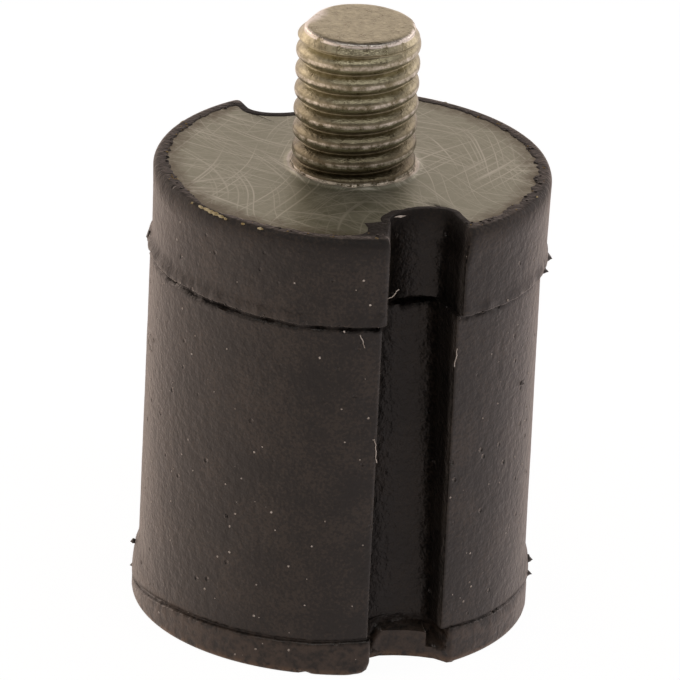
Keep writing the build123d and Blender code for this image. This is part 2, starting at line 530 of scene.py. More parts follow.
@dataclass(frozen=True)
class MouldedRubber:
    """Carbon-black natural rubber as it leaves the mould: near black, pebbled like fine leather.

    Pebble, grain, pit spacing and bloom patch are how far apart those marks are, in millimetres.
    The dirt at the base and the paler tint over the foot thin out and the skin turns matt between
    the heights given for each. Painted shade darkens the hollows.
    """

    name: str = "moulded_natural_rubber"
    blacks: tuple[tuple[float, str], ...] = ((0.41, "#0d0b0a"), (0.5, "#1d1916"), (0.59, "#3a332d"))
    # Colour of the painted shade in the hollows.
    sheltered: str = "#0d0b0a"
    dirt: str = "#86684c"
    dust: str = "#6a5b50"
    pebble: float = 0.42
    grain: float = 0.15
    pit_spacing: float = 1.3
    bloom_patch: float = 2.4
    relief: float = 0.062
    dirt_heights: tuple[float, float] = (0.12, 0.36)
    dust_heights: tuple[float, float] = (1.5, 1.8)
    scuff_heights: tuple[float, float] = (21.2, 22.2)

    def build(self) -> Material:
        """Builds the material.

        Returns:
            A dark surface whose gloss rises towards its edges, with a pebbled mould skin, a few
            pits, a faint brown bloom of wax, a paler foot, a line of tan dirt where it has stood and
            painted shade in its hollows.
        """
        material, shader, place = new_material(self.name)
        tree = material.node_tree
        pebble = add_node(tree, "ShaderNodeTexNoise", {
            "Vector": place, "Scale": per_metre(self.pebble), "Detail": 2.0,
            "Roughness": 0.55}).outputs["Fac"]
        grain = add_node(tree, "ShaderNodeTexNoise", {
            "Vector": place, "Scale": per_metre(self.grain), "Detail": 2.0,
            "Roughness": 0.6}).outputs["Fac"]
        height = add_node(tree, "ShaderNodeSeparateXYZ", {"Vector": place}).outputs["Z"]
        hollow_shade = add_node(tree, "ShaderNodeAttribute", attribute_name="hollow_shade").outputs["Fac"]
        bloom = add_node(tree, "ShaderNodeTexNoise", {
            "Vector": place, "Scale": per_metre(self.bloom_patch), "Detail": 4.0, "Roughness": 0.65})
        mottle = add_node(tree, "ShaderNodeMath", {0: bloom.outputs["Fac"], 1: grain}, operation="ADD")
        half = add_node(tree, "ShaderNodeMath", {0: mottle.outputs["Value"], 1: 0.5}, operation="MULTIPLY")
        colour = add_node(tree, "ShaderNodeValToRGB", {"Fac": half.outputs["Value"]})
        set_stops(colour.color_ramp, self.blacks)
        patchy = add_node(tree, "ShaderNodeMapRange", {
            "Value": pebble, "From Min": 0.38, "From Max": 0.58}).outputs["Result"]
        surface = colour.outputs["Color"]
        # The tan line at the base is dirt; the second tint makes the foot paler up to 1.5 mm, fading out by
        # 1.8 mm.
        for tint, heights, most in ((self.dirt, self.dirt_heights, 0.85),
                                    (self.dust, self.dust_heights, 0.42)):
            near = add_node(tree, "ShaderNodeMapRange", {
                "Value": height, "From Min": heights[0] * MM, "From Max": heights[1] * MM,
                "To Min": most, "To Max": 0.0})
            share = add_node(tree, "ShaderNodeMath", {
                0: near.outputs["Result"], 1: patchy}, operation="MULTIPLY")
            surface = add_node(tree, "ShaderNodeMix", {
                "Factor": share.outputs["Value"], MIX_UNDER: surface, MIX_OVER: linear(tint)},
                data_type="RGBA").outputs[MIX_RESULT]
        # Painted shade: where the stored attribute marks a hollow, the gap under the upper parting line or
        # the crease at the lower one, the colour goes darker and the gloss and sheen drop.
        shaded = add_node(tree, "ShaderNodeMapRange", {"Value": hollow_shade, "To Max": 0.5}).outputs["Result"]
        dark = add_node(tree, "ShaderNodeMix", {
            "Factor": shaded, MIX_UNDER: surface, MIX_OVER: linear(self.sheltered)}, data_type="RGBA")
        shine = add_node(tree, "ShaderNodeMapRange", {"Value": hollow_shade, "To Min": 0.5, "To Max": 0.36})
        powder = add_node(tree, "ShaderNodeMapRange", {"Value": hollow_shade, "To Min": 1.0, "To Max": 0.12})
        gloss = add_node(tree, "ShaderNodeMapRange", {
            "Value": grain, "From Min": 0.3, "From Max": 0.7, "To Min": 0.28, "To Max": 0.44})
        scuff = add_node(tree, "ShaderNodeMapRange", {
            "Value": height, "From Min": self.scuff_heights[0] * MM,
            "From Max": self.scuff_heights[1] * MM, "To Max": 0.3})
        worn = add_node(tree, "ShaderNodeMath", {
            0: gloss.outputs["Result"], 1: scuff.outputs["Result"]}, operation="ADD")
        tree.links.new(dark.outputs[MIX_RESULT], shader.inputs["Base Color"])
        tree.links.new(shine.outputs["Result"], shader.inputs["Specular IOR Level"])
        tree.links.new(powder.outputs["Result"], shader.inputs["Sheen Weight"])
        tree.links.new(worn.outputs["Value"], shader.inputs["Roughness"])
        tree.links.new(self.raised(place, pebble, grain), shader.inputs["Normal"])
        shader.inputs["IOR"].default_value = 1.6
        shader.inputs["Sheen Roughness"].default_value = 0.3
        shader.inputs["Sheen Tint"].default_value = linear("#fff5ee")
        return material

    def raised(self, place: NodeSocket, pebble: NodeSocket,
               grain: NodeSocket) -> NodeSocket:
        """The relief of the skin.

        Args:
            place: Object coordinates.
            pebble: The pattern of its pebbles.
            grain: The pattern of its finer grain.

        Returns:
            The normal that the relief gives each point.
        """
        tree = place.id_data
        pits = add_node(tree, "ShaderNodeTexVoronoi", {
            "Vector": place, "Scale": per_metre(self.pit_spacing), "Randomness": 1.0})
        pit_cut = add_node(tree, "ShaderNodeMapRange", {
            "Value": pits.outputs["Distance"], "From Min": 0.03, "From Max": 0.11,
            "To Min": -1.6, "To Max": 0.0})
        skin = add_node(tree, "ShaderNodeMath", {0: grain, 1: 0.35, 2: pebble}, operation="MULTIPLY_ADD")
        relief = add_node(tree, "ShaderNodeMath", {
            0: skin.outputs["Value"], 1: pit_cut.outputs["Result"]}, operation="ADD")
        return add_node(tree, "ShaderNodeBump", {
            "Strength": 1.0, "Distance": self.relief * MM,
            "Height": relief.outputs["Value"]}).outputs["Normal"]


@dataclass(frozen=True)
class Layer:
    """One layer over a metal: scratches, a stain, a darker tint or a painted highlight.

    The mask is how much of it each point has, broken up by the metal's clouds between two levels.
    """

    mask: NodeSocket
    tint: str
    patches: tuple[float, float] | None = None


@dataclass(frozen=True)
class PlatedSteel:
    """Passivated zinc on mild steel: a soft grey-olive metal, dulled, and scratched where it is flat.

    The scratches' gap, length and bend are in millimetres. So are the radius past which the metal
    is stained by what bonds the rubber to it, or 0 for none, the heights over which a darker tint
    thins out upward and the bands of height that get a painted highlight, if there are any. Metal
    is how much of the surface is bare metal; the rest is its dull coat of chromate. The collar
    highlight is the radius within which a painted highlight lies round the stud's foot, and the
    crest highlight the one beyond which the crests get painted highlights, or 0.
    """

    name: str
    light: str
    dark: str
    scored: str
    roughness: float
    scratches: int
    stain_radius: float
    relief: float
    grime: tuple[float, float] = (0.0, 0.0)
    scratch_gap: float = 0.13
    scratch_length: float = 9.0
    scratch_bend: float = 4.4
    mottle: float = 0.9
    metal: float = 1.0
    worn_bands: tuple[tuple[float, float], ...] = ()
    burnish: float = 0.0
    worn_crest: float = 0.0
    stain_tint: str = "#6e6450"
    burnish_tint: str = "#fbf7ee"
    grime_tint: str = "#5a5342"
    crest_tint: str = "#fffaf0"
    band_tint: str = "#f6f2ea"

    def scratch_layer(self, tree: NodeTree, place: NodeSocket,
                      number: int) -> NodeSocket:
        """One set of long fine scratches that all run roughly one way.

        Args:
            tree: The material's tree.
            place: Object coordinates, already bent.
            number: Which set this is, which turns and shifts it.

        Returns:
            A mask that is 1 on a scratch.
        """
        turned = add_node(tree, "ShaderNodeMapping", {
            "Vector": place,
            "Location": (0.013 * number, 0.029 * number, 0.0),
            "Rotation": (0.0, 0.0, 0.5 + 0.87 * number),
            "Scale": (self.scratch_gap * MM, self.scratch_length * MM, MM),
        }, vector_type="TEXTURE")
        field = add_node(tree, "ShaderNodeTexNoise", {
            "Vector": turned.outputs["Vector"], "Scale": 1.0, "Detail": 0.0}, noise_dimensions="2D")
        return add_node(tree, "ShaderNodeMapRange", {
            "Value": field.outputs["Fac"], "From Min": 0.69, "From Max": 0.86}).outputs["Result"]

    def scratched(self, tree: NodeTree, place: NodeSocket) -> NodeSocket:
        """Every set of scratches, all bent a little by the same noise.

        Args:
            tree: The material's tree.
            place: Object coordinates.

        Returns:
            A mask that is 1 on a scratch.
        """
        bend = add_node(tree, "ShaderNodeTexNoise", {
            "Vector": place, "Scale": per_metre(self.scratch_length), "Detail": 0.0},
            noise_dimensions="2D")
        bent = add_node(tree, "ShaderNodeVectorMath", {
            0: bend.outputs["Color"], 1: (self.scratch_bend * MM,) * 3, 2: place},
            operation="MULTIPLY_ADD").outputs["Vector"]
        marks = self.scratch_layer(tree, bent, 0)
        for number in range(1, self.scratches):
            marks = add_node(tree, "ShaderNodeMath", {
                0: marks, 1: self.scratch_layer(tree, bent, number)}, operation="MAXIMUM").outputs["Value"]
        return marks

    def layers(self, tree: NodeTree, place: NodeSocket,
               cloud: NodeSocket) -> list[Layer]:
        """Everything that lies over the plating: scratches, a stain, a darker tint and painted highlights.

        Args:
            tree: The material's tree.
            place: Object coordinates.
            cloud: The pattern of the plating's clouds.

        Returns:
            The layers, the lowest one first.
        """
        level = add_node(tree, "ShaderNodeVectorMath", {0: place, 1: (1.0, 1.0, 0.0)}, operation="MULTIPLY")
        away = add_node(tree, "ShaderNodeVectorMath", {
            0: level.outputs["Vector"]}, operation="LENGTH").outputs["Value"]
        height = add_node(tree, "ShaderNodeSeparateXYZ", {"Vector": place}).outputs["Z"]
        found = []
        if self.scratches:
            found.append(Layer(self.scratched(tree, place), self.scored))
        if self.stain_radius:
            spread = add_node(tree, "ShaderNodeMath", {
                0: cloud, 1: 2.4 * MM, 2: away}, operation="MULTIPLY_ADD")
            rim = add_node(tree, "ShaderNodeMapRange", {
                "Value": spread.outputs["Value"], "From Min": (self.stain_radius + 1.0) * MM,
                "From Max": (self.stain_radius + 1.9) * MM, "To Max": 0.75})
            found.append(Layer(rim.outputs["Result"], self.stain_tint))
        # Painted highlight round the stud's foot, on the plate's raised collar.
        if self.burnish:
            collar_lit = add_node(tree, "ShaderNodeMapRange", {
                "Value": away, "From Min": (self.burnish - 0.1) * MM, "From Max": self.burnish * MM,
                "To Min": 1.0, "To Max": 0.0})
            found.append(Layer(collar_lit.outputs["Result"], self.burnish_tint, (0.3, 0.54)))
        # A darker tint over the lower part, thinning out upward.
        if self.grime[1] > self.grime[0]:
            uneven = add_node(tree, "ShaderNodeMath", {
                0: cloud, 1: 3.0 * MM, 2: height}, operation="MULTIPLY_ADD")
            darker_share = add_node(tree, "ShaderNodeMapRange", {
                "Value": uneven.outputs["Value"], "From Min": (self.grime[0] + 1.5) * MM,
                "From Max": (self.grime[1] + 1.5) * MM, "To Min": 0.92, "To Max": 0.0})
            found.append(Layer(darker_share.outputs["Result"], self.grime_tint))
        # Painted highlight along the thread's crests.
        if self.worn_crest:
            crest = add_node(tree, "ShaderNodeMapRange", {
                "Value": away, "From Min": self.worn_crest * MM,
                "From Max": (self.worn_crest + 0.008) * MM, "To Max": 0.75})
            found.append(Layer(crest.outputs["Result"], self.crest_tint, (0.42, 0.66)))
        # Painted highlights in bands of height: at the stud's foot and on the tip's rounded edge.
        for foot, head in self.worn_bands:
            over = add_node(tree, "ShaderNodeMapRange", {
                "Value": height, "From Min": (foot - 0.04) * MM, "From Max": foot * MM})
            under = add_node(tree, "ShaderNodeMapRange", {
                "Value": height, "From Min": head * MM, "From Max": (head + 0.03) * MM,
                "To Min": 1.0, "To Max": 0.0})
            bright = add_node(tree, "ShaderNodeMath", {
                0: over.outputs["Result"], 1: under.outputs["Result"]}, operation="MULTIPLY")
            found.append(Layer(bright.outputs["Value"], self.band_tint, (0.40, 0.5)))
        return found

    def build(self) -> Material:
        """Builds the material.

        Returns:
            A metal with cloudy plating, a fine uneven skin and, if asked for, crossing sets of
            paler scratches, a brown stain towards the rim, a darker tint low down, and painted highlights.
        """
        material, shader, place = new_material(self.name)
        tree = material.node_tree
        cloud = add_node(tree, "ShaderNodeTexNoise", {
            "Vector": place, "Scale": per_metre(self.mottle), "Detail": 6.0,
            "Roughness": 0.72}).outputs["Fac"]
        colour = add_node(tree, "ShaderNodeValToRGB", {"Fac": cloud})
        set_stops(colour.color_ramp, ((0.32, self.dark), (0.68, self.light)))
        surface = colour.outputs["Color"]
        for layer in self.layers(tree, place, cloud):
            share = layer.mask
            if layer.patches:
                patchy = add_node(tree, "ShaderNodeMapRange", {
                    "Value": cloud, "From Min": layer.patches[0], "From Max": layer.patches[1]})
                share = add_node(tree, "ShaderNodeMath", {
                    0: share, 1: patchy.outputs["Result"]}, operation="MULTIPLY").outputs["Value"]
            surface = add_node(tree, "ShaderNodeMix", {
                "Factor": share, MIX_UNDER: surface, MIX_OVER: linear(layer.tint)},
                data_type="RGBA").outputs[MIX_RESULT]
        gloss = add_node(tree, "ShaderNodeMapRange", {
            "Value": cloud, "From Min": 0.3, "From Max": 0.7,
            "To Min": self.roughness - 0.05, "To Max": self.roughness + 0.07})
        fine = add_node(tree, "ShaderNodeTexNoise", {
            "Vector": place, "Scale": per_metre(0.16), "Detail": 3.0, "Roughness": 0.6})
        relief = add_node(tree, "ShaderNodeBump", {
            "Strength": 0.7, "Distance": self.relief * MM, "Height": fine.outputs["Fac"]})
        tree.links.new(surface, shader.inputs["Base Color"])
        tree.links.new(gloss.outputs["Result"], shader.inputs["Roughness"])
        tree.links.new(relief.outputs["Normal"], shader.inputs["Normal"])
        shader.inputs["Metallic"].default_value = self.metal
        return material


@dataclass(frozen=True)
class LooseMatter:
    """Dust, lint and crumbs of bonding residue: dry, matt and a little uneven in colour."""

    name: str
    light: str
    dark: str
    spacing: float = 0.5

    def build(self) -> Material:
        """Builds the material.

        Returns:
            A dull surface whose colour changes from one grain to the next.
        """
        material, shader, place = new_material(self.name)
        tree = material.node_tree
        patch = add_node(tree, "ShaderNodeTexNoise", {"Vector": place, "Scale": per_metre(self.spacing)})
        colour = add_node(tree, "ShaderNodeValToRGB", {"Fac": patch.outputs["Fac"]})
        set_stops(colour.color_ramp, ((0.35, self.dark), (0.65, self.light)))
        tree.links.new(colour.outputs["Color"], shader.inputs["Base Color"])
        shader.inputs["Roughness"].default_value = 0.85
        return material


# ---------------------------------------------------------------- rubber body


@dataclass
class RubberBody:
    """The moulding: cap, waist and foot between two parting lines, with a groove down each side.

    A form is a line that gives a height or a depth over a distance. Swells and tears are the rows
    that the functions of those names add up round the axis.
    """

    height: float
    cap_top: float = 9.47
    cap_base: float = 9.37
    waist: float = 9.305
    foot: float = 9.50
    upper_parting: float = 18.0
    lower_parting: float = 1.68
    waist_shift: tuple[float, float] = (-0.129, 0.058)
    foot_shift: tuple[float, float] = (-0.183, 0.082)
    plate_radius: float = 9.0
    plate_shift: tuple[float, float] = (-0.187, -0.072)
    plate_thickness: float = 2.0
    face_ring: float = 5.2
    edge_ring: float = 8.8
    edge_radius: float = 8.77
    edge_swells: Triples = (
        (0.40, -155.0, 11.0), (-0.09, -180.0, 8.0), (-0.10, -60.0, 12.0), (0.05, 60.0, 40.0))
    lining: float = 0.40
    lip_rise: float = 0.035
    recess: float = 0.03
    cap_groove: Groove = Groove(-1.88, 1.95, 6.2, 0.30, 0.16, 0.85)
    flared_groove: Groove = Groove(-1.9, 2.13, 6.1, 0.34, 0.3, 0.85)
    waist_groove: Groove = Groove(-2.05, 1.70, 5.8, 0.22, 0.14)
    foot_groove: Groove = Groove(-1.95, 2.10, 6.75, 0.30, 0.25)
    plug_form: Line = (
        (-2.0, 7.55), (-0.7, 7.3), (0.0, 7.48), (0.6, 7.72), (1.1, 7.98), (1.7, 8.4), (2.1, 9.0))
    plug_top: float = 1.43
    undercut: float = 0.5
    undercut_form: Line = (
        (-1.9, 0.56), (-1.0, 0.6), (-0.6, 0.1), (-0.3, 0.3), (0.5, 0.4), (1.0, 0.3), (1.7, 0.2))
    cap_rim_swells: Triples = ((0.75, -176.0, 14.0),)
    cap_rim_tears: Triples = ((0.1, 3.0, 1.3),)
    chip_heights: Triples = ((0.3, -118.6, 1.5), (0.4, -102.6, 2.4))
    chip_widths: Triples = ((0.25, -118.6, 1.3), (0.15, -102.6, 2.2))
    upper_swells: Triples = ((0.10, -90.0, 16.0), (0.05, 90.0, 16.0))
    upper_tears: Triples = ((0.045, 1.6, 3.1), (0.035, 0.6, 9.4), (0.025, 0.26, 6.2))
    lower_swells: Triples = (
        (0.22, -90.0, 20.0), (0.2, 90.0, 20.0), (-0.16, 175.0, 60.0), (-0.85, 155.0, 27.0),
        (-0.3, -20.0, 16.0))
    lower_tears: Triples = ((0.02, 1.6, 5.7), (0.008, 0.4, 2.2))
    flash_form: Line = (
        (0.0, -0.1), (0.02, 0.02), (0.05, 0.08), (0.1, 0.1), (0.25, 0.1), (0.45, 0.07), (0.6, 0.02),
        (0.85, 0.0))
    flash_swells: Triples = ((1.7, 160.0, 30.0), (0.4, 190.0, 40.0), (0.6, -20.0, 25.0))
    flash_tears: Triples = ((0.5, 0.7, 7.9), (0.3, 0.25, 2.6))
    gap_form: Line = ((-0.02, 0.0), (0.0, 1.0), (0.12, 1.0), (0.2, 0.7), (0.24, 0.1), (0.3, 0.0))
    gap_heights: Triples = ((0.25, 178.0, 40.0), (0.2, -28.0, 14.0))
    gap_depths: Triples = ((0.7, 175.0, 38.0), (0.5, -28.0, 14.0), (-0.3, -68.0, 14.0))
    gap_tears: Triples = ((0.6, 0.9, 5.3),)
    crease_form: Line = ((0.0, -0.02), (0.04, -0.03), (0.12, -0.01), (0.3, 0.0))
    flange_form: Line = ((0.0, 0.3), (0.5, 0.27), (0.95, 0.18), (1.3, 0.0))
    flange_swells: Triples = ((1.0, 155.0, 15.0), (0.7, -22.0, 12.0))
    foot_form: Line = ((0.0, 0.0), (0.02, 0.07), (0.06, 0.13), (0.14, 0.17), (0.3, 0.19), (0.5, 0.2))
    foot_tears: Triples = ((0.012, 0.8, 4.4),)

    def nominal_heights(self) -> list[float]:
        """Heights of the rings up the side, closest together at the parting lines.

        Returns:
            The heights before the parting lines' drift, in millimetres.
        """
        foot = [0.24, 0.32, 0.42, 0.54, 0.66, 0.78, 0.88, 0.96, 1.08, 1.2, 1.3, 1.38, 1.44, 1.50, 1.55, 1.59]
        around = [-0.06, -0.03, -0.012, 0.0, 0.012, 0.03, 0.055, 0.09, 0.14, 0.21, 0.30]
        low_line = [self.lower_parting + step for step in around]
        waist = np.linspace(self.lower_parting + 0.42, self.upper_parting - 0.9, 58).tolist()
        under = [-0.7, -0.52, -0.40, -0.30, -0.22, -0.15, -0.10, -0.06, -0.035, -0.015]
        over = [0.0, 0.02, 0.04, 0.07, 0.10, 0.15, 0.2, 0.25, 0.3, 0.37, 0.45, 0.55, 0.68, 0.82]
        high_line = [self.upper_parting + step for step in under + over]
        cap = np.linspace(self.upper_parting + 1.0, self.height - 1.3, 11).tolist()
        return foot + low_line + waist + high_line + cap

    def turns(self) -> np.ndarray:
        """The angle round the axis of each point of a ring."""
        ring = Outline.ring(self.waist, self.waist_groove, self.waist_groove, self.waist_shift)
        return np.arctan2(ring[:, 1], ring[:, 0])

    def parting_drift(self, turn: np.ndarray, upper: bool) -> np.ndarray:
        """How far a parting line wanders up or down from its nominal height.

        Args:
            turn: Angles round the axis.
            upper: Whether it is the upper line.

        Returns:
            The drift in millimetres.
        """
        if upper:
            return swells(turn, self.upper_swells) + tears(turn, self.waist, self.upper_tears)
        return swells(turn, self.lower_swells) + tears(turn, self.foot, self.lower_tears)

    def side_radius(self, nominal: float, turn: np.ndarray) -> np.ndarray:
        """Radius of the outside at a nominal height.

        Args:
            nominal: The height before the parting lines' drift.
            turn: Angles round the axis.

        Returns:
            The radius at each angle.
        """
        above = nominal - self.upper_parting
        if above >= 0:
            share = above / (self.height - self.upper_parting)
            plain = self.cap_base + (self.cap_top - self.cap_base) * share
            strength = 0.45 + swells(turn, self.flash_swells) + tears(turn, self.waist, self.flash_tears)
            return plain + along(above, self.flash_form) * np.clip(strength, 0.1, 2.4)
        above_foot = nominal - self.lower_parting
        if above_foot >= 0:
            flange = along(above_foot, self.flange_form) * swells(turn, self.flange_swells)
            crease = along(above_foot, self.crease_form)
            return self.waist - 0.2 * self.gap(-above, turn) + crease + flange
        uneven = tears(turn, self.foot, self.foot_tears) * smooth_step(np.array(-above_foot), 0.0, 0.06)
        return self.waist + along(-above_foot, self.foot_form) + uneven

    def gap(self, below: float, turn: np.ndarray) -> np.ndarray:
        """How deep the gap under the upper flash line is.

        Args:
            below: How far under the line.
            turn: Angles round the axis.

        Returns:
            The depth at each angle, around 1 just under the line.
        """
        form = along(below / (1.0 + swells(turn, self.gap_heights)), self.gap_form)
        depth = 0.7 + tears(turn, self.waist, self.gap_tears) + swells(turn, self.gap_depths)
        return form * np.clip(depth, 0.4, 1.6)

    def shift_at(self, nominal: float) -> tuple[float, float]:
        """Middle of the outside at a nominal height.

        Args:
            nominal: The height before the parting lines' drift.

        Returns:
            The middle in x and y.
        """
        if nominal >= self.upper_parting:
            return 0.0, 0.0
        if nominal >= self.lower_parting:
            return self.waist_shift
        return self.foot_shift

    def back_groove_at(self, nominal: float) -> Groove:
        """The groove at the back, which is straight-sided and shallower than the front one in the cap."""
        groove = replace(self.groove_at(nominal), lean=0.0)
        return replace(groove, floor=6.75, left_lip=0.5) if nominal >= self.upper_parting - 0.02 else groove

    def groove_at(self, nominal: float) -> Groove:
        """The front groove at a nominal height, changing quickly at each parting line.

        Args:
            nominal: The height before the parting lines' drift.

        Returns:
            The groove's sizes there.
        """
        if nominal >= self.upper_parting - 0.02:
            flare = float(smooth_step(np.array(nominal), 20.4, 21.6))
            return self.cap_groove.toward(self.flared_groove, flare)
        if nominal >= self.lower_parting:
            rise = (self.upper_parting - nominal) / (self.upper_parting - self.lower_parting)
            return replace(self.waist_groove, floor=self.waist_groove.floor + 0.93 * rise)
        worn = float(smooth_step(np.array(-nominal), -0.7, -0.1))
        return replace(self.foot_groove, left_lip=self.foot_groove.left_lip + 0.45 * worn)

    def end_grooves(self, top: bool) -> tuple[Groove, Groove]:
        """The front and back grooves where they run out at the upper or the lower end."""
        height = self.height if top else 0.0
        return self.groove_at(height), self.back_groove_at(height)

    def plate_outline(self, top: bool) -> np.ndarray:
        """The line round the plate that is bonded into the upper or the lower end."""
        front, back = (groove.grown(self.lining - 0.07) for groove in self.end_grooves(top))
        return Outline.ring(self.plate_radius, front, back, self.plate_shift)

    def plug(self, across: np.ndarray, height: np.ndarray) -> np.ndarray:
        """Where the plug of rubber at the foot fills the groove.

        Args:
            across: Distance across the groove, from its middle line.
            height: Height of each point.

        Returns:
            How solid the plug is at each point, from 0 to 1.
        """
        left_edge = -1.5 + 0.72 * np.clip(height / self.plug_top, 0.0, 1.0)
        inside = smooth_step(across - left_edge, -0.12, 0.16)
        inside = inside * smooth_step(self.plug_top - height, -0.05, 0.07)
        pocket = smooth_step(across, 1.36, 1.52) * smooth_step(-across, -2.1, -1.95)
        return inside * (1.0 - pocket * smooth_step(height, 0.66, 0.8))

    def fill_plug(self, ring: np.ndarray) -> np.ndarray:
        """Brings the groove floors of a ring near the foot out to the plug's face.

        Args:
            ring: Points in x, y and z.

        Returns:
            The changed points.
        """
        changed = ring.copy()
        for span, side in zip(Outline.in_groove(), (-1.0, 1.0)):
            across = -side * changed[span, 0]
            depth = side * changed[span, 1]
            face = along(across, self.plug_form)
            mask = self.plug(across, changed[span, 2])
            changed[span, 1] = side * (depth + np.maximum(face - depth, 0.0) * mask)
        return changed

    def side_ring(self, nominal: float, turn: np.ndarray) -> np.ndarray:
        """One ring up the side of the body.

        Args:
            nominal: Its height before the parting lines' drift.
            turn: Angle of each of its points.

        Returns:
            The ring's points.
        """
        radius = self.side_radius(nominal, turn)
        mean = float(radius.mean())
        centre = self.shift_at(nominal)
        flat = Outline.ring(mean, self.groove_at(nominal), self.back_groove_at(nominal), centre)
        outward = flat - np.array(centre)
        length = np.linalg.norm(outward, axis=1)
        edge = smooth_step(length, mean - 0.3, mean - 0.05)
        flat = flat + outward / length[:, None] * ((radius - mean) * edge)[:, None]
        near_top = math.exp(-((nominal - self.upper_parting) / 0.7) ** 2)
        near_foot = math.exp(-((nominal - self.lower_parting) / 1.1) ** 2)
        if nominal < self.lower_parting:
            near_foot = max(nominal - 0.2, 0.0) / (self.lower_parting - 0.2)
        drift = self.parting_drift(turn, True) * near_top + self.parting_drift(turn, False) * near_foot
        ring = at_height(flat, nominal + drift)
        if self.upper_parting - 0.75 < nominal < self.upper_parting:
            ring = self.cut_under(ring, nominal)
        return self.fill_plug(ring) if nominal < self.lower_parting + 0.6 else ring

    def cut_under(self, ring: np.ndarray, nominal: float) -> np.ndarray:
        """Hollows the grooves just under the upper parting line, where the mould has torn the skin.

        Args:
            ring: Points in x, y and z.
            nominal: The ring's height before the parting line's drift.

        Returns:
            The changed points.
        """
        changed = ring.copy()
        below = self.upper_parting - nominal
        for span, side in zip(Outline.in_groove(), (-1.0, 1.0)):
            across = changed[span, 0]
            coarse = np.array([noise.noise(Vector((x / 0.8, side * 3.0, 0.4))) for x in across])
            fine = np.array([noise.noise(Vector((x / 0.3, side, 8.0))) for x in across])
            torn = along(across, self.undercut_form) + 0.25 * (coarse + 0.5 * fine)
            hollow = self.undercut * (1.0 - smooth_step(below / np.maximum(torn, 0.02), 0.8, 1.1))
            floor = smooth_step(8.4 - np.abs(changed[span, 1]), 0.0, 0.8)
            changed[span, 1] -= side * hollow * floor
        return changed

    def inner_edge(self, turn: np.ndarray, seed: float) -> np.ndarray:
        """Radius of the ragged edge where the rubber thins out over a plate.

        Args:
            turn: Angles round the axis.
            seed: Picks another random pattern.

        Returns:
            The radius at each angle.
        """
        torn = 1.0 + 0.8 * bump(turn, -20.0, 50.0)
        coarse = tears(turn, self.edge_ring, ((0.06, 1.4, seed),))
        fine = tears(turn, self.edge_ring, ((0.07, 0.5, seed + 5.0), (0.055, 0.22, seed + 9.0)))
        return self.edge_radius + swells(turn, self.edge_swells) + coarse + torn * fine

    def rim(self, turn: np.ndarray, room: np.ndarray, top: bool) -> tuple[np.ndarray, np.ndarray]:
        """How tall and how wide the rounding of a rim is, chipped at the lower end.

        Args:
            turn: Angle of each point.
            room: Width between the outside and the ragged edge over the plate.
            top: Whether it is the upper end.

        Returns:
            The height and the width at each point.
        """
        if top:
            uneven = tears(turn, self.plate_radius, self.cap_rim_tears)
            tall = 0.42 + swells(turn, self.cap_rim_swells) + uneven
            return tall, np.clip(room - 0.06, 0.08, 0.30)
        wide = np.clip(room - 0.06, 0.08, 0.18) + swells(turn, self.chip_widths)
        return 0.2 + swells(turn, self.chip_heights), wide

    def end_face(self, turn: np.ndarray, top: bool) -> list[np.ndarray]:
        """Rings from the side over the rim to the plate's edge, and down that edge.

        Args:
            turn: Angle of each point.
            top: Whether it is the upper end.

        Returns:
            The rings, from the side inward.
        """
        outer = self.cap_top if top else self.foot
        centre = (0.0, 0.0) if top else self.foot_shift
        groove, back = self.end_grooves(top)
        inner = self.inner_edge(turn, 11.0 if top else 23.0)
        rim_height, rim_width = self.rim(turn, outer - inner, top)
        face = self.height if top else self.recess
        out = 1.0 if top else -1.0
        crown = self.height + self.lip_rise if top else 0.0
        mean_width = float(rim_width.mean())
        wide = Outline.ring(outer, groove, back, centre)
        narrow = Outline.ring(outer - mean_width, groove.grown(0.05), back.grown(0.05), centre)
        radial = wide - np.array(centre)
        radial = radial / np.linalg.norm(radial, axis=1)[:, None]
        on_arc = smooth_step(np.linalg.norm(wide - np.array(centre), axis=1), outer - 0.9, outer - 0.1)
        rings = []
        for t in np.linspace(0.0, 1.0, 9):
            swing = t * math.pi / 2
            inward = 1.0 - math.cos(swing)
            flat = wide + (narrow - wide) * inward
            flat = flat - radial * ((rim_width - mean_width) * inward * on_arc)[:, None]
            ring = at_height(flat, crown - out * rim_height * (1.0 - math.sin(swing)))
            rings.append(ring if top else self.fill_plug(ring))
        lined = replace(groove.grown(self.lining), left_lip=1.7 if top else 0.5, right_lip=0.5)
        edge = Outline.ring(self.edge_ring, lined, back.grown(self.lining))
        spoke = edge / np.linalg.norm(edge, axis=1)[:, None]
        reach = smooth_step(np.linalg.norm(edge, axis=1), 7.9, 8.7)
        uneven = 0.09 * ragged(turn, 7.0, 0.5, 3.0 if top else 6.0) * (1 - reach)
        edge = edge + spoke * ((inner - self.edge_ring) * reach + uneven)[:, None]
        last = rings[-1][:, :2]
        for share in (0.35, 0.7, 0.93):
            sink = self.lip_rise * 0.5 * share**2 if top else 0.0
            rings.append(at_height(last + (edge - last) * share, crown - out * sink))
        rings.append(at_height(edge, face + out * 0.006))
        plate = self.plate_outline(top)
        rings.append(at_height(plate, face + out * 0.004))
        rings.append(at_height(plate, face - out * self.plate_thickness))
        return rings

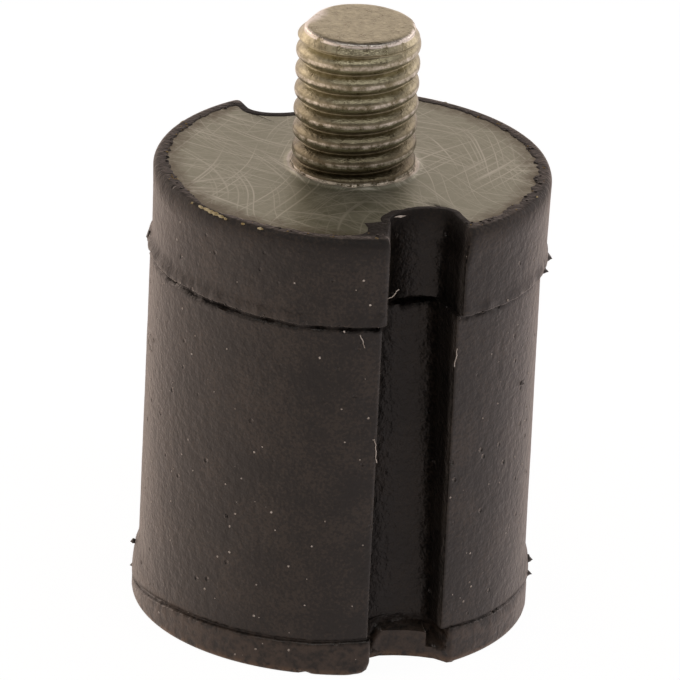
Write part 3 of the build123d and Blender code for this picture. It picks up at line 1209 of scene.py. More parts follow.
    def shade_hollows(self, mesh: Mesh, turn: np.ndarray, first: int) -> None:
        """Stores how deep in painted shade each point is, as the attribute that the rubber's material
        reads: nearer the axis than the outside, in the gap under the upper parting line and in the
        crease at the lower one, but not on the plug's face.

        Args:
            mesh: The moulding's mesh, in metres.
            turn: Angle of each point of a ring.
            first: Which ring is the lowest one up the side.
        """
        points = read_points(mesh) / MM
        size = np.hypot(points[:, 0], points[:, 1])
        hollow_shade = smooth_step(-size, -9.05, -8.5)
        on_plug = smooth_step(-points[:, 2], -1.42, -1.36) * smooth_step(np.abs(points[:, 1]), 7.1, 7.3)
        hollow_shade = hollow_shade * (1.0 - on_plug)
        for level, nominal in enumerate(self.nominal_heights()):
            ring = slice((first + level) * len(turn), (first + level + 1) * len(turn))
            above_foot = np.array(nominal - self.lower_parting)
            gap = self.gap(self.upper_parting - nominal, turn) * 1.4
            crease = 0.75 * smooth_step(above_foot, -0.05, -0.01) * smooth_step(-above_foot, -0.13, -0.05)
            hollow_shade[ring] = np.clip(np.maximum(hollow_shade[ring], np.maximum(gap, crease)), 0.0, 1.0)
        mesh.attributes.new("hollow_shade", "FLOAT", "POINT").data.foreach_set("value", hollow_shade)

    def rings(self) -> tuple[list[np.ndarray], int]:
        """Every ring of the body, from its inside bottom to its inside top.

        Returns:
            The rings, and which of them is the lowest one up the side.
        """
        turn = self.turns()
        bush_top, bush_radius = high(Node.BUSH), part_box(Node.BUSH.value)[1].x / MM
        head_low, head_radius = low(Node.STUD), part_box(Node.STUD.value)[1].x / MM
        foot = self.end_face(turn, False)
        cap = self.end_face(turn, True)
        deep, shallow = self.recess + self.plate_thickness, self.height - self.plate_thickness
        stack = [
            at_height(Outline.circle(bush_radius), bush_top),
            at_height(Outline.circle(bush_radius), deep),
            at_height(Outline.circle(self.face_ring), deep),
        ]
        stack += foot[::-1]
        first_side = len(stack)
        stack += [self.side_ring(nominal, turn) for nominal in self.nominal_heights()]
        stack += cap
        stack += [
            at_height(Outline.circle(self.face_ring), shallow),
            at_height(Outline.circle(head_radius), shallow),
            at_height(Outline.circle(head_radius), head_low),
        ]
        return stack, first_side

    def build(self, material: Material) -> Object:
        """Builds the moulding.

        Args:
            material: The rubber.

        Returns:
            The finished piece.
        """
        rings, first_side = self.rings()
        mesh = ring_shell("rubber_moulding", rings)
        self.shade_hollows(mesh, self.turns(), first_side)
        points = read_points(mesh)
        size, height = np.hypot(points[:, 0], points[:, 1]) / MM, points[:, 2] / MM
        outside = np.flatnonzero((size > 8.95) & (height > 0.1) & (height < self.height - 0.4))
        for index in outside:
            place = Vector(points[index]) / MM
            wave = 0.010 * noise.noise(place / 2.2) + 0.006 * noise.noise(place / 0.55)
            points[index, :2] *= 1.0 + wave / size[index]
        mesh.vertices.foreach_set("co", points.ravel())
        finish_mesh(mesh, 55.0)
        return new_piece("rubber_moulding", mesh, material)


# ---------------------------------------------------------------- steel plates


@dataclass
class EndPlate:
    """A stamped plate with a notch for each groove and a hole in its middle."""

    name: str
    base: float
    thickness: float
    hole_radius: float
    body: RubberBody
    top: bool
    hole_chamfer: float = 0.14
    collar: float = 0.0
    ridge: Line = (
        (0.55, 0.0), (0.40, 0.1), (0.31, 0.4), (0.25, 0.8), (0.18, 1.0), (0.11, 1.0), (0.05, 0.8), (0.0, 0.5))

    def mouth(self, top_face: float) -> list[np.ndarray]:
        """Rings round the hole's upper edge, from outside in.

        Args:
            top_face: Height of the plate's upper face.

        Returns:
            A soft chamfer, or the uneven ridge that pressing the stud home has thrown up.
        """
        hole, cut = self.hole_radius, self.hole_chamfer
        steps = [(cut * 1.4, 0.0), (cut, -0.02), (0.0, -cut)]
        if self.collar:
            steps = [(out, rise * self.collar) for out, rise in self.ridge]
        rings = []
        for out, rise in steps:
            circle = Outline.circle(hole + out)
            turn = np.arctan2(circle[:, 1], circle[:, 0])
            uneven = 1.0 + 0.35 * ragged(turn, hole, 0.9, 4.1) if self.collar else 1.0
            rings.append(at_height(circle, top_face + rise * uneven))
        return rings

    def build(self, material: Material) -> Object:
        """Builds the plate.

        Args:
            material: The plate's steel.

        Returns:
            The finished piece.
        """
        body = self.body
        edge = body.plate_outline(self.top)
        low_z, high_z = self.base, self.base + self.thickness
        hole, cut = self.hole_radius, self.hole_chamfer
        rings = [
            at_height(edge, low_z),
            at_height(edge, high_z),
            at_height(Outline.circle(body.face_ring), high_z),
            *self.mouth(high_z),
            at_height(Outline.circle(hole), low_z + cut),
            at_height(Outline.circle(hole + cut), low_z),
            at_height(Outline.circle(body.face_ring), low_z),
            at_height(edge, low_z),
        ]
        mesh = ring_shell(self.name, rings, closed_ends=False)
        finish_mesh(mesh, 30.0)
        return new_piece(self.name, mesh, material)


# ---------------------------------------------------------------- threads


@dataclass(frozen=True)
class Thread:
    """A right-hand metric coarse thread along Z, in millimetres.

    Crest is the radius over a rod's crests or of a bore's, phase the height of a crest at +X,
    plain the length at the open end that isn't cut, end slope how fast the end's cone widens past
    it, and fade how fast the thread runs out.
    """

    side: ThreadSide
    crest: float
    depth: float
    open_end: float
    blind_end: float
    end_radius: float
    plain: float
    blind_radius: float
    pitch: float = 1.0
    phase: float = 0.747
    end_slope: float = 1.0
    fade: float = 0.45
    segments: int = 120
    rows_per_pitch: int = 36


class ThreadTree:
    """A Geometry Nodes tree that rolls a grid round Z and presses a thread into it.

    Sizes names the numbers of a thread that it takes, and form is how deep the groove is, from its
    middle at 0 to the crest at 1. A step of a sum is its name, what it does and what it takes, by
    name or as a number. One sum gives each point's place along the thread, the other its radius.
    """

    SIZES = ("side", "crest", "depth", "pitch", "phase", "open_end", "blind_end", "end_radius", "end_slope",
             "plain", "blind_radius", "fade")
    FORM = ((0.0, 0.9), (0.06, 0.86), (0.15, 0.7), (0.27, 0.49), (0.43, 0.27), (0.62, 0.1), (0.8, 0.03),
            (1.0, 0.0))
    PLACE_STEPS = (
        ("columns", "ADD", "segments", 1.0), ("round", "ADD", "X", 0.5), ("up", "ADD", "Y", 0.5),
        ("turn", "MULTIPLY", "round", 2 * math.pi), ("span", "SUBTRACT", "open_end", "blind_end"),
        ("height", "MULTIPLY_ADD", "up", "span", "blind_end"), ("climb", "SUBTRACT", "height", "phase"),
        ("lead", "DIVIDE", "climb", "pitch"), ("lag", "DIVIDE", "turn", 2 * math.pi),
        ("turns", "SUBTRACT", "lead", "lag"), ("cycle", "FRACT", "turns"), ("off", "SUBTRACT", "cycle", 0.5),
        ("apart", "ABSOLUTE", "off"), ("away", "MULTIPLY", "apart", 2.0),
        ("under_open", "SUBTRACT", "open_end", "height"), ("from_open", "ABSOLUTE", "under_open"),
        ("over_blind", "SUBTRACT", "height", "blind_end"), ("from_blind", "ABSOLUTE", "over_blind"),
        ("past_plain", "SUBTRACT", "from_open", "plain"), ("past_onset", "SUBTRACT", "past_plain", 0.16),
        ("bore", "LESS_THAN", "side", 0.0))
    RADIUS_STEPS = (
        ("begun", "MAXIMUM", "onset", "bore"), ("groove", "MULTIPLY", "form", "depth"),
        ("cut", "MULTIPLY", "groove", "begun"), ("inward", "MULTIPLY", "cut", "side"),
        ("threaded", "SUBTRACT", "crest", "inward"), ("tapering", "MAXIMUM", "past_plain", 0.0),
        ("rise", "MULTIPLY", "tapering", "end_slope"), ("cone", "MULTIPLY_ADD", "rise", "side", "end_radius"),
        ("threaded_side", "MULTIPLY", "threaded", "side"), ("cone_side", "MULTIPLY", "cone", "side"),
        ("lesser", "MINIMUM", "threaded_side", "cone_side"), ("whole", "MULTIPLY", "lesser", "side"),
        ("more", "SUBTRACT", "whole", "blind_radius"),
        ("radius", "MULTIPLY_ADD", "more", "ending", "blind_radius"), ("cosine", "COSINE", "turn"),
        ("sine", "SINE", "turn"), ("x", "MULTIPLY", "radius", "cosine"), ("y", "MULTIPLY", "radius", "sine"))

    def __init__(self) -> None:
        """Builds the tree once, for every thread."""
        tree = self.tree = new_tree("rolled_thread", {
            "Float": self.SIZES, "Int": ("segments", "rows"), "Material": ("Finish",)})
        found = {socket.name: socket for socket in add_node(tree, "NodeGroupInput").outputs}
        place = add_node(tree, "GeometryNodeInputPosition").outputs["Position"]
        parts = add_node(tree, "ShaderNodeSeparateXYZ", {"Vector": place}).outputs
        found |= {part.name: part for part in parts}
        self.add_steps(found, self.PLACE_STEPS)
        form = add_node(tree, "ShaderNodeFloatCurve", {"Value": found["away"]})
        set_curve(form, self.FORM)
        found["form"] = form.outputs["Value"]
        for name, distance in (("onset", "past_onset"), ("ending", "from_blind")):
            found[name] = add_node(tree, "ShaderNodeMapRange", {
                "Value": found[distance], "From Max": found["fade"]},
                interpolation_type="SMOOTHSTEP").outputs["Result"]
        self.add_steps(found, self.RADIUS_STEPS)
        grid = add_node(tree, "GeometryNodeMeshGrid", {
            "Size X": 1.0, "Size Y": 1.0, "Vertices X": found["columns"], "Vertices Y": found["rows"]})
        rolled = add_node(tree, "ShaderNodeCombineXYZ", {
            "X": found["x"], "Y": found["y"], "Z": found["height"]})
        metres = add_node(tree, "ShaderNodeVectorMath", {
            0: rolled.outputs["Vector"], "Scale": MM}, operation="SCALE")
        shaped = add_node(tree, "GeometryNodeSetPosition", {
            "Geometry": grid.outputs["Mesh"], "Position": metres.outputs["Vector"]})
        seamed = add_node(tree, "GeometryNodeMergeByDistance", {
            "Geometry": shaped.outputs["Geometry"], "Distance": 1e-7})
        turned = add_node(tree, "GeometryNodeFlipFaces", {
            "Mesh": seamed.outputs["Geometry"], "Selection": found["bore"]})
        put_out(tree, turned.outputs["Mesh"], found["Finish"])

    def add_steps(self, found: dict[str, NodeSocket], steps: Sequence[tuple]) -> None:
        """Works out a sum in the tree.

        Args:
            found: Everything worked out so far by name, to which each step is added.
            steps: The sum's steps.
        """
        for name, operation, *taken in steps:
            inputs = {place: found.get(value, value) for place, value in enumerate(taken)}
            found[name] = add_node(self.tree, "ShaderNodeMath", inputs, operation=operation).outputs["Value"]

    def cut(self, thread: Thread, material: Material) -> Mesh:
        """Makes one thread's open sleeve.

        Args:
            thread: Its sizes.
            material: Its metal.

        Returns:
            The sleeve's mesh, open at both ends.
        """
        turns = abs(thread.open_end - thread.blind_end) / thread.pitch
        values = asdict(thread) | {
            "side": thread.side.value, "rows": int(turns * thread.rows_per_pitch) + 1, "Finish": material}
        return run_tree(self.tree, values)


def run_tree(tree: NodeTree, values: dict, base: Mesh | None = None) -> Mesh:
    """Runs a Geometry Nodes tree and keeps what it makes as a plain mesh.

    Args:
        tree: The tree.
        values: Its inputs by name.
        base: The mesh that it starts from, or None for an empty one.

    Returns:
        The made mesh.
    """
    holder = bpy.data.objects.new("maker", base or bpy.data.meshes.new("maker"))
    bpy.context.scene.collection.objects.link(holder)
    modifier = holder.modifiers.new("maker", "NODES")
    modifier.node_group = tree
    for item in tree.interface.items_tree:
        if item.item_type == "SOCKET" and item.in_out == "INPUT" and item.name in values:
            modifier[item.identifier] = values[item.name]
    graph = bpy.context.evaluated_depsgraph_get()
    made = bpy.data.meshes.new_from_object(holder.evaluated_get(graph))
    holder.modifiers.clear()
    bpy.data.objects.remove(holder)
    return made


def join_shells(name: str, meshes: Sequence[Mesh], material: Material,
                sharp_degrees: float) -> Object:
    """Joins open shells that share their end rings into one closed piece.

    Args:
        name: The piece's name.
        meshes: The shells, all facing outward.
        material: Their metal.
        sharp_degrees: Edges that turn further than this stay hard.

    Returns:
        The finished piece.
    """
    work = bmesh.new()
    for mesh in meshes:
        work.from_mesh(mesh)
    bmesh.ops.remove_doubles(work, verts=work.verts, dist=2e-7)
    for face in work.faces:
        face.material_index = 0
    joined = keep_mesh(work, name)
    finish_mesh(joined, sharp_degrees)
    return new_piece(name, joined, material)


@dataclass
class Stud:
    """The rolled stud: a thread above the plate, and a head held under it."""

    tip: float
    plate_top: float
    plate_base: float
    head_base: float
    head_radius: float
    crest: float = 2.95
    depth: float = 0.45
    tip_radius: float = 2.68
    face_radius: float = 2.28
    edge_round: float = 0.16
    worn_corner: float = 135.0
    shank_radius: float = 2.945

    def build(self, threads: ThreadTree, material: Material) -> Object:
        """Builds the stud.

        Args:
            threads: The thread's tree.
            material: The stud's steel.

        Returns:
            The finished piece.
        """
        thread = Thread(ThreadSide.ROD, self.crest, self.depth, self.tip - self.edge_round,
                        self.plate_top + 0.1, self.tip_radius, 0.22 - self.edge_round,
                        self.shank_radius, end_slope=0.62)
        count = thread.segments
        sleeve = threads.cut(thread, material)
        swing = np.linspace(0.0, math.pi / 2, 12)
        wide, tall = self.tip_radius - self.face_radius, self.edge_round
        crown = [(self.face_radius + wide * math.cos(a) ** 0.8, self.tip - tall + tall * math.sin(a))
                 for a in swing]
        crown += [(1.5, self.tip - 0.008), (0.7, self.tip - 0.006)]
        top = ring_shell("tip", lathe_rings(crown, count), closed_ends=False)
        middle = [crown[-1], (AXIS, self.tip - 0.005)]
        face = ring_shell("tip_middle", lathe_rings(middle, count), closed_ends=False)
        head = [(AXIS, self.head_base), (self.head_radius, self.head_base),
                (self.head_radius, self.plate_base), (self.shank_radius, self.plate_base),
                (self.shank_radius, thread.blind_end)]
        lower = ring_shell("head", lathe_rings(head, count), closed_ends=False)
        piece = join_shells("rolled_stud", (sleeve, top, face, lower), material, 80.0)
        self.wear_tip(piece.data)
        return piece

    def wear_tip(self, mesh: Mesh) -> None:
        """Knocks one corner of the tip in and leaves its rim slightly uneven.

        Args:
            mesh: The stud's mesh, in metres.
        """
        points = read_points(mesh)
        turn = np.arctan2(points[:, 1], points[:, 0])
        size = np.hypot(points[:, 0], points[:, 1]) / MM
        near = smooth_step(points[:, 2] / MM, self.tip - 0.8, self.tip - 0.1) * smooth_step(size, 1.2, 2.5)
        knock = 0.07 * bump(turn, self.worn_corner, 24.0)
        points[:, :2] *= 1.0 - ((knock + 0.008 * (1.0 + ragged(turn, 2.6, 0.8, 6.6))) * near)[:, None]
        points[:, 2] -= (0.06 * bump(turn, self.worn_corner, 30.0) * near + 0.006 * near * (
            1.0 + ragged(turn, 2.6, 0.6, 2.9))) * MM
        mesh.vertices.foreach_set("co", points.ravel())
        mesh.update()


@dataclass
class TappedBush:
    """The tapped bush: a spigot through the lower plate and a barrel inside the rubber."""

    face: float
    shoulder: float
    top: float
    barrel_radius: float
    spigot_radius: float = 3.9
    drill_point: float = 8.0
    thread_end: float = 6.5
    crest: float = 2.5
    mouth_radius: float = 3.05

    def build(self, threads: ThreadTree, material: Material) -> Object:
        """Builds the bush.

        Args:
            threads: The thread's tree.
            material: The bush's steel.

        Returns:
            The finished piece.
        """
        thread = Thread(ThreadSide.BORE, self.crest, 0.54, self.face, self.thread_end,
                        self.mouth_radius, 0.0, self.crest)
        sleeve = threads.cut(thread, material)
        outside = [(self.mouth_radius, self.face), (self.spigot_radius - 0.12, self.face),
                   (self.spigot_radius, self.face + 0.12), (self.spigot_radius, self.shoulder),
                   (self.barrel_radius, self.shoulder), (self.barrel_radius, self.top), (AXIS, self.top)]
        drilled = [(AXIS, self.drill_point), (self.crest, self.thread_end)]
        shell = ring_shell("bush_outside", lathe_rings(outside, thread.segments), closed_ends=False)
        point = ring_shell("bush_point", lathe_rings(drilled, thread.segments), closed_ends=False)
        return join_shells("tapped_bush", (sleeve, shell, point), material, 50.0)


# ---------------------------------------------------------------- small matter


class CrumbTree:
    """A Geometry Nodes tree that strews small uneven grains over the faces of a mesh."""

    def __init__(self) -> None:
        """Builds the tree once, for every kind of grain."""
        tree = self.tree = new_tree("strewn_grains", {
            "Geometry": ("Geometry",),
            "Float": ("Per Square Metre", "Smallest", "Largest", "Flatness", "Lowest", "Highest"),
            "Int": ("Seed",), "Material": ("Finish",)})
        given = add_node(tree, "NodeGroupInput").outputs
        place = add_node(tree, "GeometryNodeInputPosition").outputs["Position"]
        height = add_node(tree, "ShaderNodeSeparateXYZ", {"Vector": place}).outputs["Z"]
        above = add_node(tree, "ShaderNodeMath", {0: height, 1: given["Lowest"]}, operation="GREATER_THAN")
        below = add_node(tree, "ShaderNodeMath", {0: height, 1: given["Highest"]}, operation="LESS_THAN")
        band = add_node(tree, "ShaderNodeMath", {
            0: above.outputs["Value"], 1: below.outputs["Value"]}, operation="MULTIPLY")
        spread = add_node(tree, "GeometryNodeDistributePointsOnFaces", {
            "Mesh": given["Geometry"], "Selection": band.outputs["Value"],
            "Density": given["Per Square Metre"], "Seed": given["Seed"]})
        grain = add_node(tree, "GeometryNodeMeshIcoSphere", {"Radius": 1.0, "Subdivisions": 2})
        lumps = add_node(tree, "ShaderNodeTexNoise", {"Scale": 1.3, "Detail": 1.0})
        push = add_node(tree, "ShaderNodeVectorMath", {
            0: lumps.outputs["Color"], 1: (0.5, 0.5, 0.5)}, operation="SUBTRACT")
        uneven = add_node(tree, "GeometryNodeSetPosition", {
            "Geometry": grain.outputs["Mesh"], "Offset": push.outputs["Vector"]})
        size = add_node(tree, "FunctionNodeRandomValue", {
            2: given["Smallest"], 3: given["Largest"], "Seed": given["Seed"]}, data_type="FLOAT")
        squash = add_node(tree, "ShaderNodeMath", {
            0: size.outputs[1], 1: given["Flatness"]}, operation="MULTIPLY")
        scale = add_node(tree, "ShaderNodeCombineXYZ", {
            "X": size.outputs[1], "Y": size.outputs[1], "Z": squash.outputs["Value"]})
        spin = add_node(tree, "FunctionNodeRandomValue", {
            0: (0.0, 0.0, 0.0), 1: (0.0, 0.0, 6.283), "Seed": given["Seed"]}, data_type="FLOAT_VECTOR")
        facing = add_node(tree, "FunctionNodeRotateRotation", {
            "Rotation": spread.outputs["Rotation"], "Rotate By": spin.outputs[0]}, rotation_space="LOCAL")
        strewn = add_node(tree, "GeometryNodeInstanceOnPoints", {
            "Points": spread.outputs["Points"], "Instance": uneven.outputs["Geometry"],
            "Rotation": facing.outputs["Rotation"], "Scale": scale.outputs["Vector"]})
        put_out(tree, strewn.outputs["Instances"], given["Finish"])


@dataclass(frozen=True)
class Strewn:
    """One kind of small matter and where on the rubber it lies. Lengths in millimetres."""

    name: str
    per_square_mm: float
    smallest: float
    largest: float
    flatness: float
    heights: tuple[float, float]
    radii: tuple[float, float]
    seed: int

    def build(self, tree: CrumbTree, rubber: Object,
              material: Material) -> Object:
        """Builds the grains.

        Args:
            tree: The tree that strews them.
            rubber: The piece that they lie on.
            material: What they are made of.

        Returns:
            The finished piece.
        """
        values = {
            "Per Square Metre": self.per_square_mm / MM**2, "Smallest": self.smallest * MM,
            "Largest": self.largest * MM, "Flatness": self.flatness, "Lowest": self.heights[0] * MM,
            "Highest": self.heights[1] * MM, "Seed": self.seed, "Finish": material,
        }
        mesh = run_tree(tree.tree, values, self.skin(rubber))
        finish_mesh(mesh, 180.0)
        return new_piece(self.name, mesh, material)

    def skin(self, rubber: Object) -> Mesh:
        """A copy of the rubber that keeps only the faces between the two radii.

        Args:
            rubber: The piece to copy.

        Returns:
            The skin's mesh.
        """
        nearest, farthest = (radius * MM for radius in self.radii)
        work = bmesh.new()
        work.from_mesh(rubber.data)
        other = [f for f in work.faces if not nearest < math.hypot(*f.calc_center_median().xy) < farthest]
        bmesh.ops.delete(work, geom=other, context="FACES")
        return keep_mesh(work, "skin")


@dataclass(frozen=True)
class Fin:
    """One thin flake of flash: its turn in degrees, and in millimetres its height, its width, depth
    and length, and how far its middle stands off the rubber.
    """

    turn: float
    height: float
    width: float
    depth: float
    length: float
    stand: float = 0.0


@dataclass(frozen=True)
class FlashFins:
    """The larger flakes of flash that still stand on the parting lines and the groove's lips."""

    name: str
    body: RubberBody
    fins: tuple[Fin, ...]
    seed: int = 1

    def surface(self, turn: float, height: float) -> Vector:
        """A point on the outside of the moulding, and so of a flake's root.

        Args:
            turn: Its turn, in degrees.
            height: Its height, in millimetres.

        Returns:
            The point, in millimetres.
        """
        angle = np.array([math.radians(turn)])
        radius = float(self.body.side_radius(height, angle)[0])
        x, y = self.body.shift_at(height)
        return Vector((x + radius * math.cos(angle[0]), y + radius * math.sin(angle[0]), height))

    def build(self, material: Material) -> Object:
        """Builds the flakes.

        Args:
            material: The rubber.

        Returns:
            The finished piece.
        """
        work = bmesh.new()
        for fin in self.fins:
            a = math.radians(fin.turn)
            out = Vector((math.cos(a), math.sin(a), 0.0)) * fin.stand
            middle = (self.surface(fin.turn, fin.height) + out) * MM
            size = Matrix.Diagonal(Vector((fin.depth, fin.width, fin.length, 1.0)) * 0.5 * MM)
            size[3][3] = 1.0
            spin = Matrix.Rotation(a, 4, "Z")
            flake = bmesh.ops.create_icosphere(work, subdivisions=3, radius=1.0)["verts"]
            for vertex in flake:
                slim = 1.0 - 0.85 * max(vertex.co.x, 0.0)
                vertex.co.y *= slim
                vertex.co.z = vertex.co.z * slim - 0.35 * max(vertex.co.x, 0.0)
            bmesh.ops.transform(work, matrix=Matrix.Translation(middle) @ spin @ size, verts=flake)
        noise.seed_set(self.seed)
        for vertex in work.verts:
            place = vertex.co / MM
            vertex.co += noise.noise_vector(place / 0.11) * 0.028 * MM
        mesh = keep_mesh(work, self.name)
        finish_mesh(mesh, 60.0)
        return new_piece(self.name, mesh, material)


class ThreadletTree:
    """A Geometry Nodes tree that lays a thin, slightly wandering fibre along a path."""

    def __init__(self) -> None:
        """Builds the tree once, for every fibre."""
        tree = self.tree = new_tree("lint_fibre", {
            "Vector": ("Start", "Middle", "End"), "Float": ("Radius", "Wander"), "Material": ("Finish",)})
        given = add_node(tree, "NodeGroupInput").outputs
        path = add_node(tree, "GeometryNodeCurveQuadraticBezier", {
            "Resolution": 24, "Start": given["Start"], "Middle": given["Middle"], "End": given["End"]})
        sway = add_node(tree, "ShaderNodeTexNoise", {"Scale": per_metre(0.25), "Detail": 1.0})
        centred = add_node(tree, "ShaderNodeVectorMath", {
            0: sway.outputs["Color"], 1: (0.5, 0.5, 0.5)}, operation="SUBTRACT")
        push = add_node(tree, "ShaderNodeVectorMath", {
            0: centred.outputs["Vector"], "Scale": given["Wander"]}, operation="SCALE")
        bent = add_node(tree, "GeometryNodeSetPosition", {
            "Geometry": path.outputs["Curve"], "Offset": push.outputs["Vector"]})
        outline = add_node(tree, "GeometryNodeCurvePrimitiveCircle", {
            "Resolution": 6, "Radius": given["Radius"]})
        tube = add_node(tree, "GeometryNodeCurveToMesh", {
            "Curve": bent.outputs["Geometry"], "Profile Curve": outline.outputs["Curve"], "Fill Caps": True})
        put_out(tree, tube.outputs["Mesh"], given["Finish"])


@dataclass(frozen=True)
class Lint:
    """A few pale fibres caught on the moulding's edges.

    Each one is a turn in degrees and a height in millimetres for its two ends, and how far its
    middle stands off the rubber.
    """

    body: RubberBody
    fibres: tuple[tuple[float, float, float, float, float], ...] = (
        (-100.9, 19.45, -98.0, 19.9, 0.1), (-108.8, 17.65, -107.2, 17.0, 0.24),
        (-102.9, 12.25, -102.2, 11.05, 0.06), (-78.2, 16.4, -78.9, 15.5, 0.08),
        (24.0, 9.0, 28.0, 8.4, 0.1), (171.0, 13.2, 167.5, 13.9, 0.12))
    radius: float = 0.022
    wander: float = 0.16

    def place(self, turn: float, height: float, out: float) -> Vector:
        """A point on the waist, in metres, that far out from its surface."""
        a, r = math.radians(turn), self.body.waist + out
        x, y = self.body.waist_shift
        return Vector((x + r * math.cos(a), y + r * math.sin(a), height)) * MM

    def build(self, tree: ThreadletTree, material: Material) -> Object:
        """Builds the fibres.

        Args:
            tree: The tree that lays one fibre.
            material: The lint.

        Returns:
            The finished piece.
        """
        meshes = []
        for turn, height, end_turn, end_height, lift in self.fibres:
            values = {
                "Start": self.place(turn, height, 0.03), "End": self.place(end_turn, end_height, 0.03),
                "Middle": self.place((turn + end_turn) / 2, (height + end_height) / 2, lift),
                "Radius": self.radius * MM, "Wander": self.wander * MM, "Finish": material,
            }
            meshes.append(run_tree(tree.tree, values))
        return join_shells("lint_fibres", meshes, material, 60.0)


# ---------------------------------------------------------------- stage


@dataclass(frozen=True)
class Studio:
    """A white sweep lit from its back and sides, with the dark of the room behind the camera.

    Facing is the way from the mount to the camera, in degrees round the axis. The levels are how
    bright the sky and the floor are from the back to that side, and the sky from its foot upward.
    The floor's levels are the strength of a glow that only reflections see, dimmer towards the
    camera: painted shade on the floor in front of the mount.
    """

    floor_reach: float = 3.0
    facing: float = -114.0
    sky_levels: Line = ((0.0, 1.0), (0.33, 1.0), (0.5, 0.9), (0.66, 0.62), (0.82, 0.42), (1.0, 0.3))
    floor_levels: Line = ((0.0, 1.0), (0.55, 1.0), (0.72, 0.95), (0.85, 0.8), (0.95, 0.6), (1.0, 0.52))
    upward_levels: Line = ((0.0, 1.0), (0.3, 0.95), (0.45, 0.8), (0.6, 0.36), (0.8, 0.1), (1.0, 0.05))
    left_tint: str = "#ffe9dc"
    right_tint: str = "#ffefeb"
    right_share: float = 0.74

    def surroundings(self, tree: NodeTree, way: NodeSocket,
                     levels: Line) -> tuple[NodeSocket, NodeSocket]:
        """Adds the nodes that say how bright and what colour the surroundings are one way.

        Args:
            tree: The tree of the world or the floor.
            way: Direction or place, seen from the foot of the mount.
            levels: Brightness from the back, at 0, to the camera's side, at 1.

        Returns:
            The brightness and the colour.
        """
        level = add_node(tree, "ShaderNodeVectorMath", {0: way, 1: (1.0, 1.0, 0.0)}, operation="MULTIPLY")
        unit = add_node(tree, "ShaderNodeVectorMath", {0: level.outputs["Vector"]}, operation="NORMALIZE")
        turn = math.radians(self.facing)
        ahead = (math.cos(turn), math.sin(turn), 0.0)
        across = (-math.sin(turn), math.cos(turn), 0.0)
        toward = add_node(tree, "ShaderNodeVectorMath", {
            0: unit.outputs["Vector"], 1: ahead}, operation="DOT_PRODUCT")
        share = add_node(tree, "ShaderNodeMapRange", {"Value": toward.outputs["Value"], "From Min": -1.0})
        bright = add_node(tree, "ShaderNodeFloatCurve", {"Value": share.outputs["Result"]})
        set_curve(bright, levels)
        side = add_node(tree, "ShaderNodeVectorMath", {
            0: unit.outputs["Vector"], 1: across}, operation="DOT_PRODUCT")
        tint = add_node(tree, "ShaderNodeMapRange", {
            "Value": side.outputs["Value"], "From Min": -0.8, "From Max": 0.8})
        colour = add_node(tree, "ShaderNodeMix", {
            "Factor": tint.outputs["Result"], MIX_UNDER: linear(self.left_tint),
            MIX_OVER: linear(self.right_tint)}, data_type="RGBA")
        dim = add_node(tree, "ShaderNodeMapRange", {
            "Value": side.outputs["Value"], "From Min": 0.2, "From Max": 0.92, "To Min": 1.0,
            "To Max": self.right_share})
        level = add_node(tree, "ShaderNodeMath", {
            0: bright.outputs["Value"], 1: dim.outputs["Result"]}, operation="MULTIPLY")
        return level.outputs["Value"], colour.outputs[MIX_RESULT]

    def build_floor(self) -> None:
        """Builds the floor that the mount stands on."""
        mesh = bpy.data.meshes.new("floor")
        r = self.floor_reach
        mesh.from_pydata([(-r, -r, 0.0), (r, -r, 0.0), (r, r, 0.0), (-r, r, 0.0)], [], [(0, 1, 2, 3)])
        material = bpy.data.materials.new("white_paper_sweep")
        material.use_nodes = True
        tree = material.node_tree
        tree.nodes.clear()
        path = add_node(tree, "ShaderNodeLightPath").outputs
        place = add_node(tree, "ShaderNodeTexCoord").outputs["Object"]
        bright, colour = self.surroundings(tree, place, self.floor_levels)
        paper = add_node(tree, "ShaderNodeBsdfDiffuse", {"Color": linear("#e6e4e0")})
        shade = add_node(tree, "ShaderNodeBsdfDiffuse", {"Color": linear("#5a5a5a")})
        glow = add_node(tree, "ShaderNodeEmission", {"Color": (1.0, 1.0, 1.0, 1.0), "Strength": 0.965})
        seen = add_node(tree, "ShaderNodeAddShader", {0: shade.outputs[0], 1: glow.outputs[0]})
        # For reflected rays the floor glows, dimmer towards the camera: painted shade on the floor in front
        # of the mount.
        reflected_glow = add_node(tree, "ShaderNodeEmission", {"Color": colour, "Strength": bright})
        either = add_node(tree, "ShaderNodeMath", {
            0: path["Is Glossy Ray"], 1: path["Is Transmission Ray"]}, operation="MAXIMUM")
        bounced = add_node(tree, "ShaderNodeMixShader", {
            0: either.outputs["Value"], 1: paper.outputs[0], 2: reflected_glow.outputs[0]})
        mix = add_node(tree, "ShaderNodeMixShader", {
            0: path["Is Camera Ray"], 1: bounced.outputs[0], 2: seen.outputs[0]})
        add_node(tree, "ShaderNodeOutputMaterial", {"Surface": mix.outputs[0]})
        floor = new_piece("paper_floor", mesh, material)

